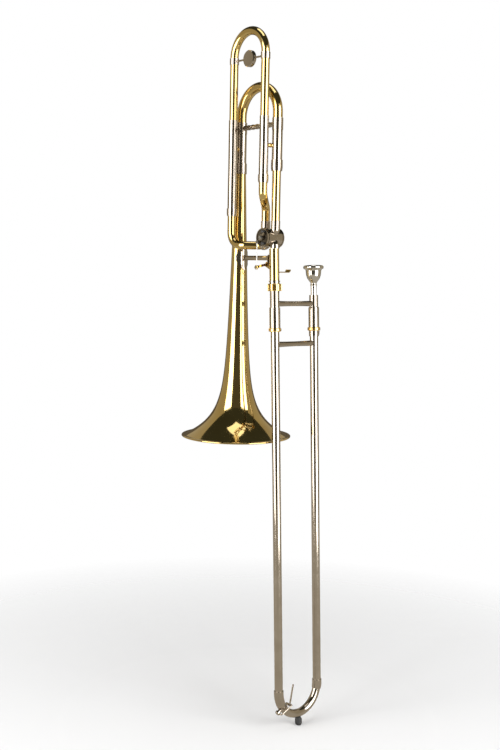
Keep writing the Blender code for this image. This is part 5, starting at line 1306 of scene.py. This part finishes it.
def make_water_key(hand_axis):
    """The water key: its post on the crook, and the sprung key on its screw"""
    bend = SLIDE_SPACING / 2
    skin = bend + CROOK_RADIUS
    outward = crook_point(NIPPLE_ANGLE, 1) - crook_point(NIPPLE_ANGLE, 0)
    hinge_radius = bend - CROOK_RADIUS - GAP - KEY_HINGE_OFFSET
    hinge = crook_point(KEY_ANGLE, hinge_radius)
    inward = (hinge - crook_point(KEY_ANGLE, bend)).normalized()
    half = KEY_POST_LENGTH / 2
    base = crook_point(KEY_ANGLE, bend - CROOK_RADIUS - GAP)
    post = add_piece("water_key_post", rod(KEY_BARREL_RADIUS, hinge - Vector((half, 0, 0)),
                                           hinge + Vector((half, 0, 0))), "nickel_silver", hand_axis)
    combine(post, rod(KEY_BARREL_RADIUS * 0.8, base, hinge), "UNION")
    bore = PIVOT_RADIUS * 0.7 + PIN_CLEARANCE
    reach = Vector((4 * half, 0, 0))
    combine(post, rod(bore, hinge - reach, hinge + reach, PIN_SIDES), "DIFFERENCE")
    key_start = half + GAP
    key_end = key_start + KEY_BARREL_LENGTH
    head = -half - GAP
    profile = [
        (KEY_BARREL_RADIUS * 0.9, head - 0.0018),
        (KEY_BARREL_RADIUS, head - 0.0010),
        (KEY_BARREL_RADIUS, head),
        (PIVOT_RADIUS * 0.7, head),
        (PIVOT_RADIUS * 0.7, key_end + 0.0006),
    ]
    bm = turned(profile, towards((1, 0, 0), hinge), SMALL_SIDES)
    add_piece("water_key_screw", bm, "steel", hand_axis)
    axis = add_axis("water_key_axis", hinge, parent=hand_axis)
    middle = Vector(((key_start + key_end) / 2, 0, 0))
    half_key = Vector((KEY_BARREL_LENGTH / 2, 0, 0))
    bm = rod(KEY_BARREL_RADIUS, middle - half_key, middle + half_key)
    key = add_piece("water_key_lever", bm, "nickel_silver", axis)
    side = CROOK_RADIUS + CROOK_FERRULE_WALL + 3 * GAP + KEY_ARM_RADIUS
    cup_low = skin + NIPPLE_HEIGHT + GAP
    cup_middle = crook_point(NIPPLE_ANGLE, cup_low + KEY_CUP_HEIGHT * 0.6) - hinge
    across = Vector((side, 0, 0))
    arm_start = middle + inward * KEY_ARM_RADIUS * 0.2
    corners = [arm_start, across + inward * 0.001, across + cup_middle, cup_middle]
    path = rounded_path(corners, (0.0018, 0.0030), 8)
    combine(key, swept_rod(path, KEY_ARM_RADIUS, PIN_SIDES), "UNION")
    cup = crook_point(NIPPLE_ANGLE, cup_low) - hinge
    profile = [(KEY_CUP_RADIUS, 0), (KEY_CUP_RADIUS, KEY_CUP_HEIGHT * 0.7),
               (KEY_CUP_RADIUS * 0.75, KEY_CUP_HEIGHT)]
    combine(key, turned(profile, towards(outward, cup), SMALL_SIDES), "UNION")
    finger = Vector((0, sin(KEY_FINGER_LEAN), cos(KEY_FINGER_LEAN)))
    tip = middle + finger * KEY_FINGER_LENGTH
    combine(key, rod(KEY_ARM_RADIUS * 1.1, middle, tip, PIN_SIDES), "UNION")
    bore_screw = PIVOT_RADIUS * 0.7 + PIN_CLEARANCE
    cut = rod(bore_screw, middle - half_key * 2, middle + half_key * 2, PIN_SIDES)
    combine(key, cut, "DIFFERENCE")


def make_mouthpiece(section_axis):
    """The mouthpiece: rounded rim, cup, throat, backbore and a shank that sits in the leadpipe"""
    axis = add_axis("mouthpiece_axis", SLIDE_SIDE[1] + DOWN * RECEIVER_TOP, parent=section_axis)
    top = RECEIVER_TOP - MOUTHPIECE_TOP
    rim = CUP_RIM_RADIUS
    cup = CUP_BORE_RADIUS
    outer = [
        (cup + 0.0030, top),
        (rim - 0.0012, top - 0.0008),
        (rim, top - 0.0030),
        (rim - 0.0007, top - 0.0062),
        (rim * 0.78, top - 0.0088),
        (rim * 0.72, top - 0.0177),
        (rim * 0.58, top - 0.0250),
        (rim * 0.36, top - 0.0305),
        (SHANK_RADIUS * 1.06, top - 0.0335),
        (SHANK_RADIUS * 1.24, top - 0.0360),
        (SHANK_RADIUS * 1.06, top - 0.0385),
        (SHANK_RADIUS, 0.0008),
        (SHANK_TIP_RADIUS, -SHANK_DEPTH),
    ]
    inner = [
        (SHANK_TIP_RADIUS - 0.0007, -SHANK_DEPTH),
        (THROAT_RADIUS, top - 0.0330),
        (THROAT_RADIUS, top - 0.0280),
        (cup * 0.62, top - 0.0205),
        (cup * 0.90, top - 0.0110),
        (cup, top - 0.0030),
        (cup + 0.0012, top - 0.0006),
    ]
    bm = turned(eased(outer) + eased(inner), sides=72, hollow=True)
    add_piece("mouthpiece", bm, "polished_nickel", axis)


def make_details():
    """Trimmings that the CAD leaves plain: gold beads round the stays, and the valve's front ring"""
    for side, x, main_x, leg in (("bell_side", LOOP_BELL_LEG_X, 0.0, BELL_LEG_RADIUS),
                                 ("neck_side", LOOP_NECK_LEG_X, MAIN_X, NECK_LEG_RADIUS)):
        start = Vector((x, -LOOP_OFFSET, STAY_HEIGHT))
        along = Vector((main_x, 0, STAY_HEIGHT)) - start
        low = LOOP_TUBE_RADIUS + GAP + SLEEVE_WALL + BEAD_GAP
        high = along.length - leg - GAP - SLEEVE_WALL - BEAD_GAP
        half = (high - low) / 2
        outer = [(BEAD_FOOT_RADIUS, -half), (BEAD_FOOT_RADIUS, -half * 0.72), (BEAD_NECK_RADIUS, -half * 0.56)]
        outer += [(BEAD_NECK_RADIUS + (BEAD_RADIUS - BEAD_NECK_RADIUS) * cos(share * pi / 2), half * 0.5 * share)
                  for share in (-0.8, -0.4, 0, 0.4, 0.8)]
        outer += [(BEAD_NECK_RADIUS, half * 0.56), (BEAD_FOOT_RADIUS, half * 0.72), (BEAD_FOOT_RADIUS, half)]
        inner = [(STAY_RADIUS + BEAD_GAP, half), (STAY_RADIUS + BEAD_GAP, -half)]
        place = towards(along, start + along.normalized() * (low + half))
        bead = turned(outer + inner, place, SMALL_SIDES, hollow=True)
        add_piece(f"stay_bead_{side}", bead, "gold_plate")
    place = towards((0, 1, 0), VALVE_CENTRE)
    ring = pipe(CASING_RADIUS, STOP_PLATE_RADIUS + GAP, PLATE_FRONT - RING_STAND, PLATE_BACK, place)
    add_piece("valve_front_ring", ring, "nickel_silver")


def make_pieces():
    """Every piece of the instrument, then each one settled on its body"""
    slide_frame = add_axis("slide_frame", (MAIN_X, 0, NECK_ORIGIN), (0, -SLIDE_LEAN, 0))
    make_bell()
    make_tuning_sleeves()
    make_gooseneck()
    make_main_tuning_slide()
    make_loop_slide()
    make_loop_tubing()
    make_valve_body()
    make_rotor()
    make_connecting_rod()
    make_thumb_lever()
    make_lever_mount()
    make_bell_brace(slide_frame)
    make_neck(slide_frame)
    make_lock_nut(slide_frame)
    section_axis = make_slide_section(slide_frame)
    make_slide_lock(section_axis)
    make_mouthpiece(section_axis)
    hand_axis = make_hand_slide(slide_frame)
    make_water_key(hand_axis)
    make_details()
    record = frame["record"]
    settle(record["behaviour"]["bodies"])


def turn_camera():
    """The camera's axes: forward from the fit, level, then rolled"""
    forward = Vector(CAMERA_FORWARD).normalized()
    level = forward.cross(Vector((0, 0, 1))).normalized()
    upright = level.cross(forward)
    right = level * cos(CAMERA_ROLL) + upright * sin(CAMERA_ROLL)
    up = upright * cos(CAMERA_ROLL) - level * sin(CAMERA_ROLL)
    return Matrix((right, up, -forward)).transposed().to_4x4()


def add_camera():
    """The camera at the photograph's viewing angle"""
    data = bpy.data.cameras.new("camera")
    data.lens = CAMERA_LENS
    data.clip_start = 0.05
    data.clip_end = 50
    camera = bpy.data.objects.new("camera", data)
    camera.matrix_world = Matrix.Translation(Vector(CAMERA_PLACE)) @ turn_camera()
    bpy.context.scene.collection.objects.link(camera)
    bpy.context.scene.camera = camera


def add_card(name, first, last, distance, low, high, glow):
    """A curved card between two bearings, which only reflections see"""
    bm = bmesh.new()
    rows = []
    for level in (low, high):
        turns = [first + (last - first) * step / CARD_STEPS for step in range(CARD_STEPS + 1)]
        rows.append([bm.verts.new(around(bearing, distance, level)) for bearing in turns])
    for step in range(CARD_STEPS):
        bm.faces.new((rows[0][step], rows[0][step + 1], rows[1][step + 1], rows[1][step]))
    finish_card(name, bm, glow)


def add_level_card(name, size, height, glow):
    """A level square card, which only reflections see"""
    bm = bmesh.new()
    bmesh.ops.create_grid(bm, x_segments=1, y_segments=1, size=size / 2, matrix=Matrix.Translation((0, 0, height)))
    finish_card(name, bm, glow)


def finish_card(name, bm, glow):
    """Make a card's object and give it one plain brightness"""
    mesh = bpy.data.meshes.new(name)
    bm.to_mesh(mesh)
    bm.free()
    card = bpy.data.objects.new(name, mesh)
    bpy.context.scene.collection.objects.link(card)
    material = bpy.data.materials.new(name)
    material.use_nodes = True
    nodes = material.node_tree.nodes
    light = nodes.new("ShaderNodeEmission")
    light.inputs["Color"].default_value = (*glow, 1.0)
    material.node_tree.links.new(light.outputs["Emission"], nodes["Material Output"].inputs["Surface"])
    mesh.materials.append(material)
    card.visible_camera = False
    card.visible_diffuse = False
    card.visible_shadow = False


def around(bearing, distance, height):
    """A place at a bearing from the object, counted from the camera's side"""
    camera = Vector(CAMERA_PLACE)
    start = atan2(camera.y, camera.x)
    return (distance * cos(start + bearing), distance * sin(start + bearing), height)


def add_lamp(name, power, width, height, place, aim):
    """A soft box"""
    data = bpy.data.lights.new(name, "AREA")
    data.shape = "RECTANGLE"
    data.size = width
    data.size_y = height
    data.energy = power
    lamp = bpy.data.objects.new(name, data)
    facing = (Vector(aim) - Vector(place)).to_track_quat("-Z", "Y")
    lamp.matrix_world = Matrix.Translation(Vector(place)) @ facing.to_matrix().to_4x4()
    bpy.context.scene.collection.objects.link(lamp)


def add_floor():
    """A plain pale floor under the slide's bumper, which fades into the white background"""
    bm = bmesh.new()
    bmesh.ops.create_grid(bm, x_segments=1, y_segments=1, size=6.0)
    mesh = bpy.data.meshes.new("floor")
    bm.to_mesh(mesh)
    bm.free()
    floor = bpy.data.objects.new("floor", mesh)
    floor.location = (FLOOR_CENTRE[0], FLOOR_CENTRE[1], FLOOR_HEIGHT)
    bpy.context.scene.collection.objects.link(floor)
    material = bpy.data.materials.new("floor")
    material.use_nodes = True
    nodes = material.node_tree.nodes
    links = material.node_tree.links
    shader = nodes["Principled BSDF"]
    shader.inputs["Base Color"].default_value = (*FLOOR_COLOUR, 1.0)
    shader.inputs["Roughness"].default_value = 0.9
    shader.inputs["Specular IOR Level"].default_value = 0.1
    place = nodes.new("ShaderNodeTexCoord")
    reach = nodes.new("ShaderNodeVectorMath")
    reach.operation = "LENGTH"
    links.new(place.outputs["Object"], reach.inputs[0])
    fade = spread_value(nodes, links, reach.outputs["Value"], 0, 1, FLOOR_FADE_START, FLOOR_FADE_END)
    clear = nodes.new("ShaderNodeBsdfTransparent")
    mix = nodes.new("ShaderNodeMixShader")
    links.new(fade, mix.inputs[0])
    links.new(shader.outputs["BSDF"], mix.inputs[1])
    links.new(clear.outputs["BSDF"], mix.inputs[2])
    links.new(mix.outputs["Shader"], nodes["Material Output"].inputs["Surface"])
    mesh.materials.append(material)
    floor.visible_glossy = False


def add_world():
    """A white background for the camera and for reflections, and a soft grey light on everything"""
    world = bpy.data.worlds.new("studio")
    bpy.context.scene.world = world
    world.use_nodes = True
    nodes = world.node_tree.nodes
    links = world.node_tree.links
    path = nodes.new("ShaderNodeLightPath")
    seen = nodes.new("ShaderNodeMath")
    seen.operation = "MAXIMUM"
    links.new(path.outputs["Is Camera Ray"], seen.inputs[0])
    links.new(path.outputs["Is Glossy Ray"], seen.inputs[1])
    clear = nodes.new("ShaderNodeMath")
    clear.operation = "MAXIMUM"
    links.new(seen.outputs[0], clear.inputs[0])
    links.new(path.outputs["Is Transmission Ray"], clear.inputs[1])
    strength = nodes.new("ShaderNodeMapRange")
    strength.inputs["To Min"].default_value = 0.35
    strength.inputs["To Max"].default_value = 1.0
    links.new(clear.outputs[0], strength.inputs["Value"])
    background = nodes["Background"]
    background.inputs["Color"].default_value = (1, 1, 1, 1)
    links.new(strength.outputs["Result"], background.inputs["Strength"])


def add_studio():
    """Tall soft boxes left and right, and dark cards that give the metal its dark lines"""
    middle = (0.03, 0.0, 0.05)
    add_lamp("soft_box_left", 52, 1.36, 2.6, around(radians(-53), 1.9, 0.15), middle)
    add_lamp("soft_box_right", 52, 1.36, 2.6, around(radians(48), 1.9, 0.15), middle)
    add_lamp("soft_box_top", 6, 1.0, 1.0, (0.1, 0.0, 2.2), middle)
    add_card("card_front", radians(-34), radians(28), 2.6, -1.3, 2.2, FRONT_CARD)
    for side, turn in (("left", -1), ("right", 1)):
        add_card(f"card_{side}", turn * radians(70), turn * radians(140), 2.5, -1.3, 2.2, SIDE_CARD)
        add_card(f"card_{side}_back", turn * radians(140), turn * radians(178), 2.5, -1.3, 0.7, BACK_CARD)
        add_card(f"card_{side}_high", turn * radians(140), turn * radians(178), 2.5, 0.7, 2.2, SIDE_CARD)
    add_level_card("card_ceiling", 5.4, 2.3, CEILING_CARD)
    add_level_card("card_floor", 5.4, FLOOR_HEIGHT + 0.001, FLOOR_CARD)


bpy.context.scene.view_settings.view_transform = "Standard"
make_pieces()
add_camera()
add_floor()
add_world()
add_studio()
